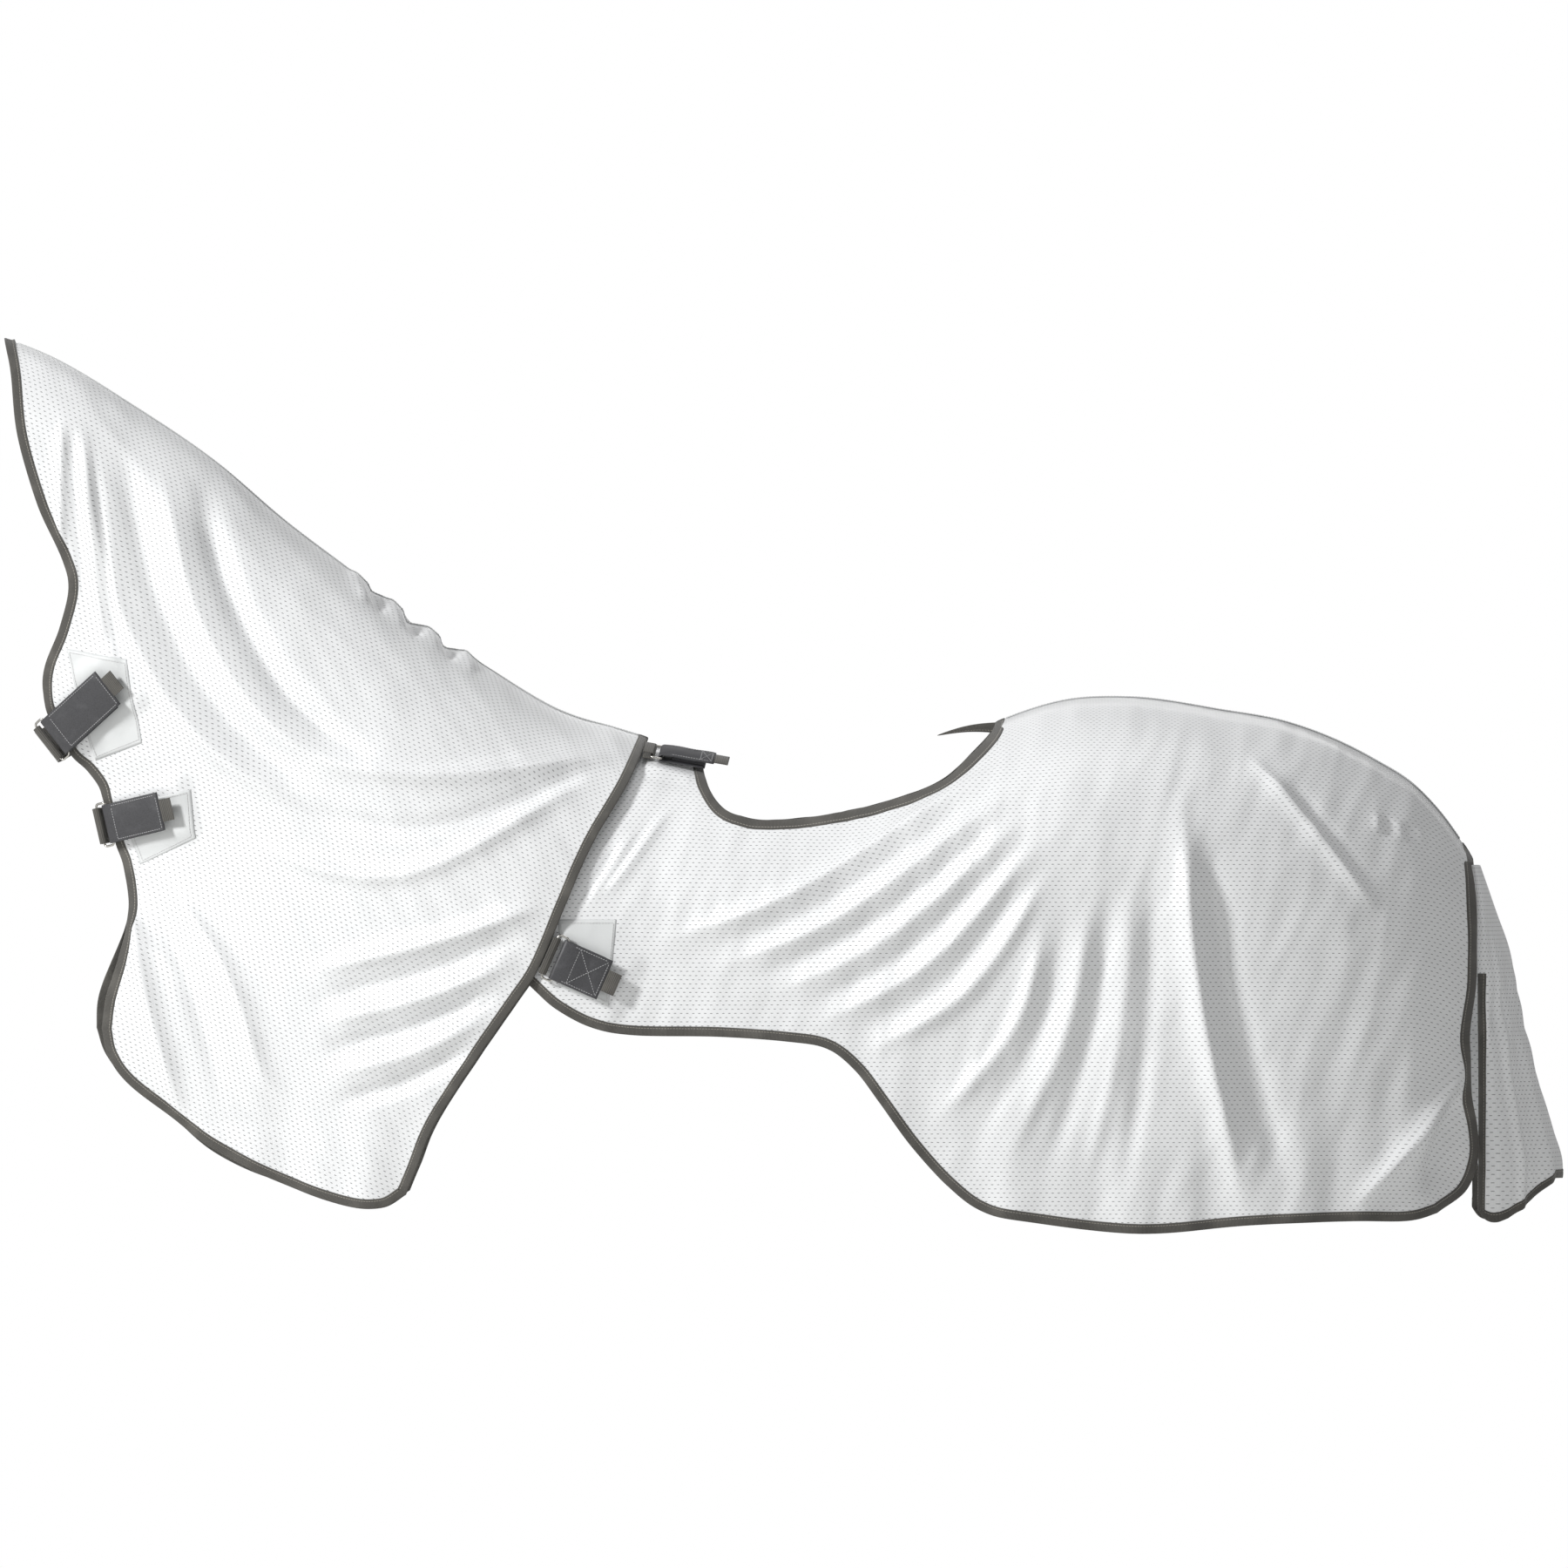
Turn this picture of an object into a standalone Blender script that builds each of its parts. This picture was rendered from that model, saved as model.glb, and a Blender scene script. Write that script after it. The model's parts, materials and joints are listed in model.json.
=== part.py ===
"""Ride-on horse fly sheet with its separate neck cover, shaped as it hangs on a standing horse.

Metres, +Z up. +X runs from the head to the tail and the horse's left side is at -Y. The origin is on the
back at the withers, where the neck cover meets the body sheet. Every cloth panel is a thin shell on one
smooth form of the horse, and each buckle-free closure is a strap that runs through a wire ring and sticks
back on itself.
"""

import math

import bmesh
import bpy
import numpy as np
from mathutils import Matrix, Vector

# Driving dimensions.
CLOTH = 0.0020              # thickness of the mesh cloth shells
TAPE = 0.0030               # thickness of a folded edge binding
TAPE_WIDTH = 0.0140         # visible width of the edge binding
GAP = 0.0004                # clearance between pieces that touch on the real sheet
EDGE_GAP = 0.0018           # clearance between the cloth and the inner edge of its binding
SEAM_GAP = 0.0020           # distance of a panel's seam edge from the centre plane
SEAM_HALF = 0.0080          # half the width of the tape over a centre seam
NECK_LIFT = 0.0090          # how far the neck cover lies outside the body sheet
PATCH = 0.0008              # thickness of a reinforcement patch
PATCH_LIFT = 0.0030         # height of a patch's underside over the form

NECK_ROWS, NECK_COLUMNS = 22, 16        # facets of a neck panel, down and along
BODY_ROWS, BODY_COLUMNS = 13, (4, 17, 12)   # facets of a body panel, down and along its withers, cut-out and croup

# Stations of the horse's form: x, height of its top line, half width, depth of its widest level.
BODY_FORM = [
    (-0.26, 0.070, 0.222, 0.36), (-0.10, 0.008, 0.238, 0.31), (0.00, -0.014, 0.245, 0.28),
    (0.10, -0.034, 0.258, 0.25), (0.30, -0.052, 0.280, 0.22), (0.42, -0.015, 0.290, 0.22),
    (0.50, 0.021, 0.296, 0.23), (0.60, 0.052, 0.300, 0.24), (0.69, 0.056, 0.300, 0.25),
    (0.82, 0.038, 0.291, 0.26), (0.92, 0.019, 0.276, 0.28), (1.04, -0.033, 0.240, 0.30),
    (1.10, -0.072, 0.210, 0.30), (1.14, -0.115, 0.176, 0.28), (1.17, -0.157, 0.143, 0.26),
    (1.20, -0.200, 0.110, 0.24),
]
NECK_FORM = [
    (-0.93, 0.573, 0.070, 0.12), (-0.86, 0.545, 0.082, 0.14), (-0.74, 0.474, 0.104, 0.20),
    (-0.62, 0.392, 0.130, 0.26), (-0.52, 0.307, 0.156, 0.30), (-0.43, 0.239, 0.180, 0.33),
    (-0.33, 0.163, 0.207, 0.35), (-0.23, 0.097, 0.229, 0.36), (-0.13, 0.038, 0.244, 0.34),
    (0.00, 0.002, 0.253, 0.30), (0.05, -0.010, 0.255, 0.29),
]
# How strongly the front edge is drawn in to the throat and the chest, by height.
DRAWN_IN = [
    (-0.75, 0.20), (-0.50, 0.25), (-0.34, 0.40), (-0.22, 0.68), (-0.13, 0.80), (-0.04, 0.80),
    (0.03, 0.78), (0.10, 0.62), (0.20, 0.30), (0.35, 0.05), (0.60, 0.00),
]
DRAW_REACH = 0.10           # distance over which the drawn-in edge widens to the neck

# Side-view outlines, x and z.
HEAD_EDGE = [
    (-0.925, 0.571), (-0.914, 0.519), (-0.904, 0.431), (-0.875, 0.331), (-0.841, 0.256),
    (-0.831, 0.212), (-0.844, 0.156), (-0.866, 0.100), (-0.868, 0.062), (-0.856, 0.025),
    (-0.828, -0.022), (-0.785, -0.078), (-0.762, -0.150), (-0.747, -0.220), (-0.745, -0.262),
    (-0.757, -0.310), (-0.777, -0.375), (-0.783, -0.419),
]
NECK_HEM = [
    (-0.783, -0.419), (-0.774, -0.458), (-0.745, -0.498), (-0.675, -0.552), (-0.619, -0.592),
    (-0.531, -0.637), (-0.436, -0.670), (-0.381, -0.674), (-0.348, -0.655),
]
NECK_REAR = [
    (0.000, 0.000), (-0.031, -0.069), (-0.081, -0.156), (-0.119, -0.244), (-0.156, -0.331),
    (-0.194, -0.388), (-0.250, -0.469), (-0.306, -0.556), (-0.331, -0.615), (-0.348, -0.655),
]
BODY_FRONT = [(-0.060, -0.003), (-0.095, -0.075), (-0.145, -0.165), (-0.190, -0.250), (-0.215, -0.300)]
BODY_HEM = [
    (-0.215, -0.300), (-0.198, -0.328), (-0.163, -0.362), (-0.131, -0.390), (-0.081, -0.416),
    (-0.020, -0.427), (0.100, -0.429), (0.200, -0.436), (0.255, -0.446), (0.294, -0.476),
    (0.330, -0.523), (0.375, -0.585), (0.425, -0.640), (0.475, -0.677), (0.540, -0.692),
    (0.700, -0.709), (0.860, -0.697), (1.000, -0.692), (1.080, -0.692), (1.125, -0.681),
]
RUMP_EDGE = [
    (1.181, -0.178), (1.183, -0.215), (1.185, -0.290), (1.184, -0.356), (1.174, -0.431),
    (1.176, -0.506), (1.186, -0.560), (1.187, -0.606), (1.168, -0.652), (1.125, -0.681),
]
WITHERS_END = (0.076, -0.030)
CUT_OUT = [
    WITHERS_END, (0.083, -0.068), (0.106, -0.103), (0.144, -0.118), (0.194, -0.120),
    (0.256, -0.113), (0.319, -0.100), (0.381, -0.081), (0.431, -0.056), (0.466, -0.022),
    (0.489, 0.003), (0.497, 0.018),
]
# Tail flap: height, x of its front edge, x of its back, half width.
TAIL_FORM = [
    (-0.178, 1.1820, 1.1900, 0.052), (-0.244, 1.1880, 1.2130, 0.088), (-0.319, 1.1900, 1.2370, 0.104),
    (-0.406, 1.1905, 1.2520, 0.110), (-0.469, 1.1910, 1.2690, 0.114), (-0.569, 1.1910, 1.3000, 0.120),
    (-0.612, 1.1910, 1.3130, 0.123), (-0.660, 1.1930, 1.3050, 0.124), (-0.700, 1.2120, 1.2750, 0.122),
]
TAIL_TOP, TAIL_FOLD, TAIL_END = -0.185, -0.356, -0.700
TAIL_AXIS_X = 1.2445        # the free flap swings back about a crease across its back, at the fold height


def interpolate(table, column, x):
    """Value of one column of a table at x, on a smooth curve through its rows."""
    xs = [row[0] for row in table]
    ys = [row[column] for row in table]
    slopes = np.gradient(ys, xs)
    x = min(max(x, xs[0]), xs[-1])
    i = min(max(int(np.searchsorted(xs, x)) - 1, 0), len(xs) - 2)
    h = xs[i + 1] - xs[i]
    t = (x - xs[i]) / h
    return float(
        (2 * t**3 - 3 * t**2 + 1) * ys[i] + (t**3 - 2 * t**2 + t) * h * slopes[i]
        + (3 * t**2 - 2 * t**3) * ys[i + 1] + (t**3 - t**2) * h * slopes[i + 1]
    )


def spline(points, count):
    """A smooth curve through side-view points, as count + 1 points evenly spaced along it."""
    p = [np.array(q, float) for q in points]
    p = [2 * p[0] - p[1], *p, 2 * p[-1] - p[-2]]
    fine = []
    for a, b, c, d in zip(p, p[1:], p[2:], p[3:]):
        for k in range(12):
            t = k / 12
            fine.append(
                0.5 * (2 * b + (c - a) * t + (2 * a - 5 * b + 4 * c - d) * t**2
                       + (3 * b - a - 3 * c + d) * t**3)
            )
    fine = np.array([*fine, p[-2]])
    run = np.concatenate([[0], np.cumsum(np.linalg.norm(np.diff(fine, axis=0), axis=1))])
    at = np.linspace(0, run[-1], count + 1)
    return np.stack([np.interp(at, run, fine[:, 0]), np.interp(at, run, fine[:, 1])], axis=1)


def front_x(z):
    """x of the neck cover's front edge at a height."""
    line = spline(HEAD_EDGE + NECK_HEM[1:4], 80)[::-1]
    return float(np.interp(z, line[:, 1], line[:, 0]))


def half_width(form, x, z):
    """Distance of a form's surface from the centre plane."""
    below = interpolate(form, 1, x) - z
    depth = min(max(below / interpolate(form, 3, x), 0.0), 1.0)
    y = interpolate(form, 2, x) * math.sqrt(1 - (1 - depth) ** 2)
    if form is NECK_FORM:
        reach = max(x - front_x(z), 0.0) / DRAW_REACH
        y *= 1 - interpolate(DRAWN_IN, 1, z) * math.exp(-reach)
        y += NECK_LIFT * min(depth * 3, 1.0)
    return max(y, SEAM_GAP)


def on_form(form, xz, side, lift=0.0):
    """A point of the side view put on the form's surface, or lifted off it squarely. side is -1 on the left
    and 1 on the right."""
    x, z = xz
    width = half_width(form, x, z)
    point = Vector((x, side * width, z))
    if lift:
        step = 0.004
        slope_x = (half_width(form, x + step, z) - half_width(form, x - step, z)) / (2 * step)
        slope_z = (half_width(form, x, z + step) - half_width(form, x, z - step)) / (2 * step)
        point += lift * Vector((-slope_x, side, -slope_z)).normalized()
    return point


def inset(line, distance):
    """The line moved to its left by a distance, mitred at its corners, its ends moved straight across."""
    along = np.diff(line, axis=0)
    along /= np.linalg.norm(along, axis=1)[:, None]
    left = np.stack([-along[:, 1], along[:, 0]], axis=1)
    before, after = np.vstack([left[:1], left]), np.vstack([left, left[-1:]])
    spread = 1 + np.sum(before * after, axis=1)
    return line + distance * (before + after) / np.maximum(spread, 0.5)[:, None]


def join(*lines):
    """Several lines run together, each starting where the last one ended."""
    return np.concatenate([lines[0], *[line[1:] for line in lines[1:]]])


def top_line(form, start, end, count):
    """Points along a form's top line, from one given end to the other."""
    line = np.array([(x, interpolate(form, 1, x)) for x in np.linspace(start[0], end[0], count)])
    line[0], line[-1] = start, end
    return line


def collection(name, parent):
    made = bpy.data.collections.new(name)
    parent.children.link(made)
    return made


def material(name, colour, roughness, metallic=0.0):
    made = bpy.data.materials.new(name)
    made.use_nodes = True
    shader = made.node_tree.nodes["Principled BSDF"]
    shader.inputs["Base Color"].default_value = (*colour, 1)
    shader.inputs["Roughness"].default_value = roughness
    shader.inputs["Metallic"].default_value = metallic
    return made


def put(obj, finish):
    """Gives an object its material and its place in the sheet's collection."""
    obj.data.materials.clear()
    obj.data.materials.append(finish)
    for owner in list(obj.users_collection):
        owner.objects.unlink(obj)
    SHEET.objects.link(obj)
    return obj


def thicken(obj, thickness, offset):
    shell = obj.modifiers.new("thickness", "SOLIDIFY")
    shell.thickness = thickness
    shell.offset = offset
    return obj


def loft(name, rows, finish, thickness, offset=-1.0, outward=None):
    """A shell between rows of points, thickened inwards from a surface that faces away from the horse."""
    mesh = bmesh.new()
    grid = [[mesh.verts.new(point) for point in row] for row in rows]
    for upper, lower in zip(grid, grid[1:]):
        for i in range(len(upper) - 1):
            mesh.faces.new((upper[i], upper[i + 1], lower[i + 1], lower[i]))
    mesh.normal_update()
    total = sum((face.normal * face.calc_area() for face in mesh.faces), Vector())
    if total.dot(outward) < 0:
        bmesh.ops.reverse_faces(mesh, faces=mesh.faces)
    data = bpy.data.meshes.new(name)
    mesh.to_mesh(data)
    mesh.free()
    data.shade_smooth()
    obj = bpy.data.objects.new(name, data)
    SHEET.objects.link(obj)
    put(obj, finish)
    return thicken(obj, thickness, offset)


def coons(top, bottom, left, right, rows):
    """Rows of side-view points that fill four curves. Rows crowd towards the top, where the form turns over."""
    grid = []
    u = np.linspace(0, 1, len(top))[:, None]
    for j in range(rows + 1):
        k = 1 - math.cos(0.5 * math.pi * j / rows)
        across = (1 - u) * left[j] + u * right[j]
        down = (1 - k) * top + k * bottom
        corners = (1 - k) * ((1 - u) * top[0] + u * top[-1]) + k * ((1 - u) * bottom[0] + u * bottom[-1])
        grid.append(across + down - corners)
    return grid


def hemmed(form, edge, distance, first=0, last=0):
    """An edge line moved in over the cloth. An end that meets the top line moves along it instead: first and
    last are 1 where it moves to +X, -1 where it moves to -X and 0 where the end is free."""
    line = inset(edge, distance)
    for end, way in ((0, first), (-1, last)):
        if way:
            x = edge[end][0] + way * distance
            line[end] = (x, interpolate(form, 1, x))
    return line


def strip(name, form, side, edge, inner, finish, outward):
    """An edge binding: a strip that lies from an outline to just short of the cloth."""
    rows = [[on_form(form, point, side) for point in line] for line in (edge, inner)]
    return loft(name, rows, finish, TAPE, 0.0, outward)


def build_panels(side, word):
    """The cloth and the edge bindings of one side of the sheet and of its neck cover."""
    out = Vector((0, side, 0))
    clear = TAPE_WIDTH + EDGE_GAP
    head = spline(HEAD_EDGE, NECK_ROWS)
    hem = spline(NECK_HEM, NECK_COLUMNS)
    rear = spline(NECK_REAR, NECK_ROWS)
    free = join(head, hem, rear[::-1])
    tape = hemmed(NECK_FORM, free, TAPE_WIDTH, 1, -1)
    strip(f"neck_binding_{word}", NECK_FORM, side, free, tape, TAPE_FINISH, out)
    cloth = hemmed(NECK_FORM, free, clear, 1, -1)
    low, end = NECK_ROWS, NECK_ROWS + NECK_COLUMNS
    head_in, hem_in, rear_in = cloth[:low + 1], cloth[low:end + 1], cloth[end:][::-1]
    top = top_line(NECK_FORM, head_in[0], rear_in[0], NECK_COLUMNS + 1)
    grid = coons(top, hem_in, head_in, rear_in, NECK_ROWS)
    rows = [[on_form(NECK_FORM, point, side) for point in line] for line in grid]
    loft(f"neck_panel_{word}", rows, CLOTH_FINISH, CLOTH, -1.0, out)

    front = spline(BODY_FRONT, BODY_ROWS)
    lower = spline(BODY_HEM, sum(BODY_COLUMNS))
    rump = spline(RUMP_EDGE, BODY_ROWS)
    edge = join(front, lower, rump[::-1])
    tape = hemmed(BODY_FORM, edge, TAPE_WIDTH, 1, -1)
    strip(f"body_binding_{word}", BODY_FORM, side, edge, tape, TAPE_FINISH, out)
    cut = spline(CUT_OUT, BODY_COLUMNS[1])
    tape = hemmed(BODY_FORM, cut[::-1], TAPE_WIDTH, 1, -1)
    strip(f"saddle_binding_{word}", BODY_FORM, side, cut[::-1], tape, TAPE_FINISH, out)
    edge_in = hemmed(BODY_FORM, edge, clear, 1, -1)
    low, end = BODY_ROWS, BODY_ROWS + sum(BODY_COLUMNS)
    front_in, lower_in, rump_in = edge_in[:low + 1], edge_in[low:end + 1], edge_in[end:][::-1]
    cut_in = hemmed(BODY_FORM, cut[::-1], clear, 1, -1)[::-1]
    withers = top_line(BODY_FORM, front_in[0], cut_in[0], BODY_COLUMNS[0] + 1)
    croup = top_line(BODY_FORM, cut_in[-1], rump_in[0], BODY_COLUMNS[2] + 1)
    top = join(withers, cut_in, croup)
    grid = coons(top, lower_in, front_in, rump_in, BODY_ROWS)
    rows = [[on_form(BODY_FORM, point, side) for point in line] for line in grid]
    loft(f"body_panel_{word}", rows, CLOTH_FINISH, CLOTH, -1.0, out)


def seam(name, form, start, end, count, lift):
    """Tape over a centre seam of the top line."""
    xs = np.linspace(start, end, count)
    tops = [Vector((x, 0, interpolate(form, 1, x) + lift)) for x in xs]
    rows = [[top + Vector((0, y, -abs(y) * 0.1)) for top in tops] for y in (-SEAM_HALF, 0, SEAM_HALF)]
    loft(name, rows, PATCH_FINISH, 0.0012, 1.0, Vector((0, 0, 1)))


def tail_rows(z_from, z_to, rows, angles):
    """Points of the tail flap's U-shaped channel, one row for each height."""
    made = []
    for z in np.linspace(z_from, z_to, rows):
        key = [(-row[0], *row[1:]) for row in TAIL_FORM]
        front, back, half = (interpolate(key, column, -z) for column in (1, 2, 3))
        made.append([
            Vector((front + (back - front) * math.cos(a), half * math.sin(a), z))
            for a in np.radians(angles)
        ])
    return made


def hang(obj):
    """Moves an object's origin onto the crease that the tail flap swings about, leaving its shape in place."""
    crease = Vector((TAIL_AXIS_X, 0, TAIL_FOLD))
    obj.data.transform(Matrix.Translation(-crease))
    obj.location = crease


def build_tail():
    """The tail flap: a yoke sewn to both sides of the rump, and the free flap that hangs from it."""
    angles = np.linspace(-90, 90, 15)
    inner = np.linspace(-80, 80, 13)
    back = Vector((1, 0, 0))
    loft("tail_yoke", tail_rows(TAIL_TOP, TAIL_FOLD + 0.0015, 6, angles), CLOTH_FINISH, CLOTH, -1.0, back)
    flap = tail_rows(TAIL_FOLD - 0.0015, TAIL_END + TAPE_WIDTH + EDGE_GAP, 9, inner)
    hang(loft("tail_flap", flap, CLOTH_FINISH, CLOTH, -1.0, back))
    hem = tail_rows(TAIL_END + TAPE_WIDTH, TAIL_END, 2, angles)
    hang(loft("tail_hem_binding", hem, TAPE_FINISH, TAPE, 0.0, back))
    for side, word in ((-1, "left"), (1, "right")):
        edge = tail_rows(TAIL_FOLD - 0.0015, TAIL_END + TAPE_WIDTH + EDGE_GAP, 9, (side * 90, side * 80.6))
        hang(loft(f"tail_binding_{word}", edge, TAPE_FINISH, TAPE, 0.0, Vector((0, side, 0))))


class Closure:
    """One closure: a strap through a wire ring, stuck back on itself. Its frame has X along the strap, away
    from the ring, Y across the strap and Z away from the horse, with its origin on the ring's strap bar."""

    WIRE = 0.0016
    RING = 0.0160
    LOOP = 0.0045
    STRAP = 0.0020
    FLAP = 0.0030
    HINGE = (0.0065, 0.0065)

    def __init__(self, name, form, side, at, slant, length, width, lift, tab=0.020):
        self.name, self.length, self.width, self.tab = name, length, width, tab
        along = np.array((math.cos(slant), math.sin(slant)))
        across = np.array((-along[1], along[0]))
        at = np.array(at)
        middle = at + along * length * 0.5
        ends = [on_form(form, middle + along * d, side, lift) for d in (-length / 2, length / 2)]
        sides = [on_form(form, middle + across * d, side, lift) for d in (-0.012, 0.012)]
        x = (ends[1] - ends[0]).normalized()
        y = (sides[1] - sides[0]).normalized()
        z = x.cross(y).normalized()
        if z.y * side < 0:
            z = -z
        y = z.cross(x)
        centre = on_form(form, middle, side, lift)
        self.place = Matrix.Translation(centre - x * length * 0.5) @ Matrix((x, y, z)).transposed().to_4x4()

    def stand(self, obj, finish, at=(0, 0, 0)):
        """Places an object modelled in the closure's frame, with its own origin at a point of that frame."""
        obj.data.transform(Matrix.Translation(-Vector(at)))
        obj.matrix_world = self.place @ Matrix.Translation(at)
        return put(obj, finish)

    def ribbon(self, name, path, width, thickness, finish):
        """A strap along a path of its frame's X and Z."""
        mesh = bmesh.new()
        rows = [[mesh.verts.new((x, y, z)) for x, z in path] for y in (-width / 2, width / 2)]
        for i in range(len(path) - 1):
            mesh.faces.new((rows[0][i], rows[0][i + 1], rows[1][i + 1], rows[1][i]))
        data = bpy.data.meshes.new(name)
        mesh.to_mesh(data)
        mesh.free()
        obj = bpy.data.objects.new(name, data)
        SHEET.objects.link(obj)
        return self.stand(thicken(obj, thickness, 0.0), finish)

    def slab(self, name, low, high, finish, at=(0, 0, 0), round_off=0.0006):
        """A flat piece with softened edges, given by its two corners."""
        bpy.ops.mesh.primitive_cube_add(size=1)
        obj = bpy.context.object
        obj.name = name
        low, high = Vector(low), Vector(high)
        obj.data.transform(Matrix.Translation((low + high) / 2) @ Matrix.Diagonal((*(high - low), 1)))
        soft = obj.modifiers.new("edges", "BEVEL")
        soft.width = round_off
        soft.segments = 1
        return self.stand(obj, finish, at)

    def ring(self):
        """The rectangular wire ring, whose keeper bar is its own origin."""
        half = self.width / 2 + 0.003
        bend = 0.004
        corners = [(0, -half), (-self.RING, -half), (-self.RING, half), (0, half)]
        inward = [(-1, 1), (1, 1), (1, -1), (-1, -1)]
        points = []
        for k, ((x, y), (sx, sy)) in enumerate(zip(corners, inward)):
            start = -90 * k
            for turn in (0, 45, 90):
                a = math.radians(start - turn)
                points.append((x + sx * bend + bend * math.cos(a), y + sy * bend + bend * math.sin(a)))
        curve = bpy.data.curves.new(f"{self.name}_ring", "CURVE")
        curve.dimensions = "3D"
        curve.bevel_depth = self.WIRE
        curve.bevel_resolution = 1
        line = curve.splines.new("POLY")
        line.points.add(len(points) - 1)
        for point, (x, y) in zip(line.points, points):
            point.co = (x + self.RING, y, 0, 1)
        line.use_cyclic_u = True
        obj = bpy.data.objects.new(f"{self.name}_ring", curve)
        SHEET.objects.link(obj)
        obj.matrix_world = self.place @ Matrix.Translation((-self.RING, 0, 0))
        put(obj, STEEL_FINISH)

    def loop(self, centre, start, end, steps=6):
        """Points round a bar, from one angle to another."""
        turns = np.radians(np.linspace(start, end, steps + 1))
        return [(centre + self.LOOP * math.cos(a), self.LOOP * math.sin(a)) for a in turns]

    def build(self, keeper_tail, keeper_end):
        """Makes the six pieces. The keeper comes up its tail, goes round the ring's keeper bar and ends."""
        reach = self.length - 0.012
        anchor = [(reach, -self.LOOP), *self.loop(0, -90, -270), (0.0058, self.LOOP)]
        self.ribbon(f"{self.name}_strap", anchor, self.width, self.STRAP, LEATHER_FINISH)
        keeper = [*keeper_tail, *self.loop(-self.RING, -90, 90), keeper_end]
        self.ribbon(f"{self.name}_keeper", keeper, self.width - 0.004, 0.0016, TAPE_FINISH)
        self.ring()
        hook_low = -self.LOOP + self.STRAP / 2 + GAP
        flap_low = self.HINGE[1] - self.FLAP
        half = self.width / 2
        self.slab(f"{self.name}_hook_tape", (0.014, -half + 0.006, hook_low),
                  (reach - 0.002, half - 0.006, flap_low - GAP), HOOK_FINISH)
        hinge = (self.HINGE[0], 0, self.HINGE[1])
        self.slab(f"{self.name}_flap", (self.HINGE[0] + GAP, -half, flap_low),
                  (self.length, half, self.HINGE[1]), LEATHER_FINISH, hinge)
        self.slab(f"{self.name}_pull_tab", (self.length + GAP, -0.016, flap_low + 0.0004),
                  (self.length + self.tab, 0.016, flap_low + 0.0022), TAPE_FINISH, hinge, 0.0004)


def patch(name, form, side, corners, lift):
    """A reinforcement patch of plain cloth sewn over the mesh, between four side-view corners."""
    a, b, c, d = (np.array(corner) for corner in corners)
    rows = []
    for v in np.linspace(0, 1, 5):
        line = [(1 - u) * ((1 - v) * a + v * d) + u * ((1 - v) * b + v * c) for u in np.linspace(0, 1, 6)]
        rows.append([on_form(form, point, side, lift) for point in line])
    loft(name, rows, PATCH_FINISH, PATCH, 1.0, Vector((0, side, 0)))


for old in list(bpy.data.objects):
    bpy.data.objects.remove(old, do_unlink=True)

SHEET = collection("horse_fly_sheet", bpy.context.scene.collection)
CLOTH_FINISH = material("mesh_cloth", (0.80, 0.81, 0.81), 0.55)
PATCH_FINISH = material("plain_cloth", (0.80, 0.81, 0.82), 0.60)
TAPE_FINISH = material("binding_tape", (0.10, 0.095, 0.085), 0.80)
LEATHER_FINISH = material("synthetic_leather", (0.060, 0.060, 0.063), 0.55)
HOOK_FINISH = material("hook_tape", (0.035, 0.035, 0.037), 0.85)
STEEL_FINISH = material("nickel_steel", (0.62, 0.61, 0.59), 0.25, 1.0)

for hand, word in ((-1, "left"), (1, "right")):
    build_panels(hand, word)
seam("crest_seam_tape", NECK_FORM, -0.870, -0.016, 33, 0.0026)
seam("withers_seam_tape", BODY_FORM, 0.014, 0.060, 4, 0.0012)
seam("croup_seam_tape", BODY_FORM, 0.516, 1.163, 25, 0.0022)
build_tail()
patch("throat_patch", NECK_FORM, -1,
      [(-0.834, 0.125), (-0.745, 0.110), (-0.725, -0.010), (-0.792, -0.035)], PATCH_LIFT)
patch("chest_patch", NECK_FORM, -1,
      [(-0.750, -0.098), (-0.654, -0.076), (-0.646, -0.146), (-0.728, -0.184)], PATCH_LIFT)
for hand, word in ((-1, "left"), (1, "right")):
    patch(f"shoulder_patch_{word}", BODY_FORM, hand,
          [(-0.128, -0.262), (-0.045, -0.262), (-0.056, -0.385), (-0.122, -0.358)], PATCH_LIFT)

LOOP = Closure.LOOP
FRONT_TAIL = [(-0.012, -0.062), (-0.026, -0.050), (-0.033, -0.034), (-0.033, -0.018), (-0.025, -0.008)]
FRONT_END = (-0.0205, 0.0040)
Closure("throat", NECK_FORM, -1, (-0.850, -0.001), math.radians(41), 0.118, 0.060, 0.012).build(
    FRONT_TAIL, FRONT_END)
Closure("chest", NECK_FORM, -1, (-0.772, -0.126), math.radians(14), 0.096, 0.056, 0.016).build(
    FRONT_TAIL, FRONT_END)
for hand, word in ((-1, "left"), (1, "right")):
    Closure(f"shoulder_{word}", BODY_FORM, hand, (-0.124, -0.320), math.radians(-24), 0.070, 0.060,
            0.014).build([(-0.022, -LOOP)], (-0.022, LOOP))
    Closure(f"withers_{word}", BODY_FORM, hand, (0.019, -0.037), math.radians(-10), 0.074, 0.044,
            0.014).build([(-0.028, -LOOP)], (-0.028, LOOP))
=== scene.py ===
"""Ride-on horse fly sheet with its neck cover: the cloth, tape, straps, rings and stage of the finished model.

Metres, +Z up. +X runs from the head to the tail and the horse's left side is at -Y. Every cloth piece lies on
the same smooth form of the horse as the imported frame, with the folds of the hanging cloth laid over it.
"""

import json
import logging
import math
from dataclasses import dataclass, field
from enum import Enum

import bmesh
import bpy
import numpy as np
from mathutils import Matrix, Vector, noise


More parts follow.
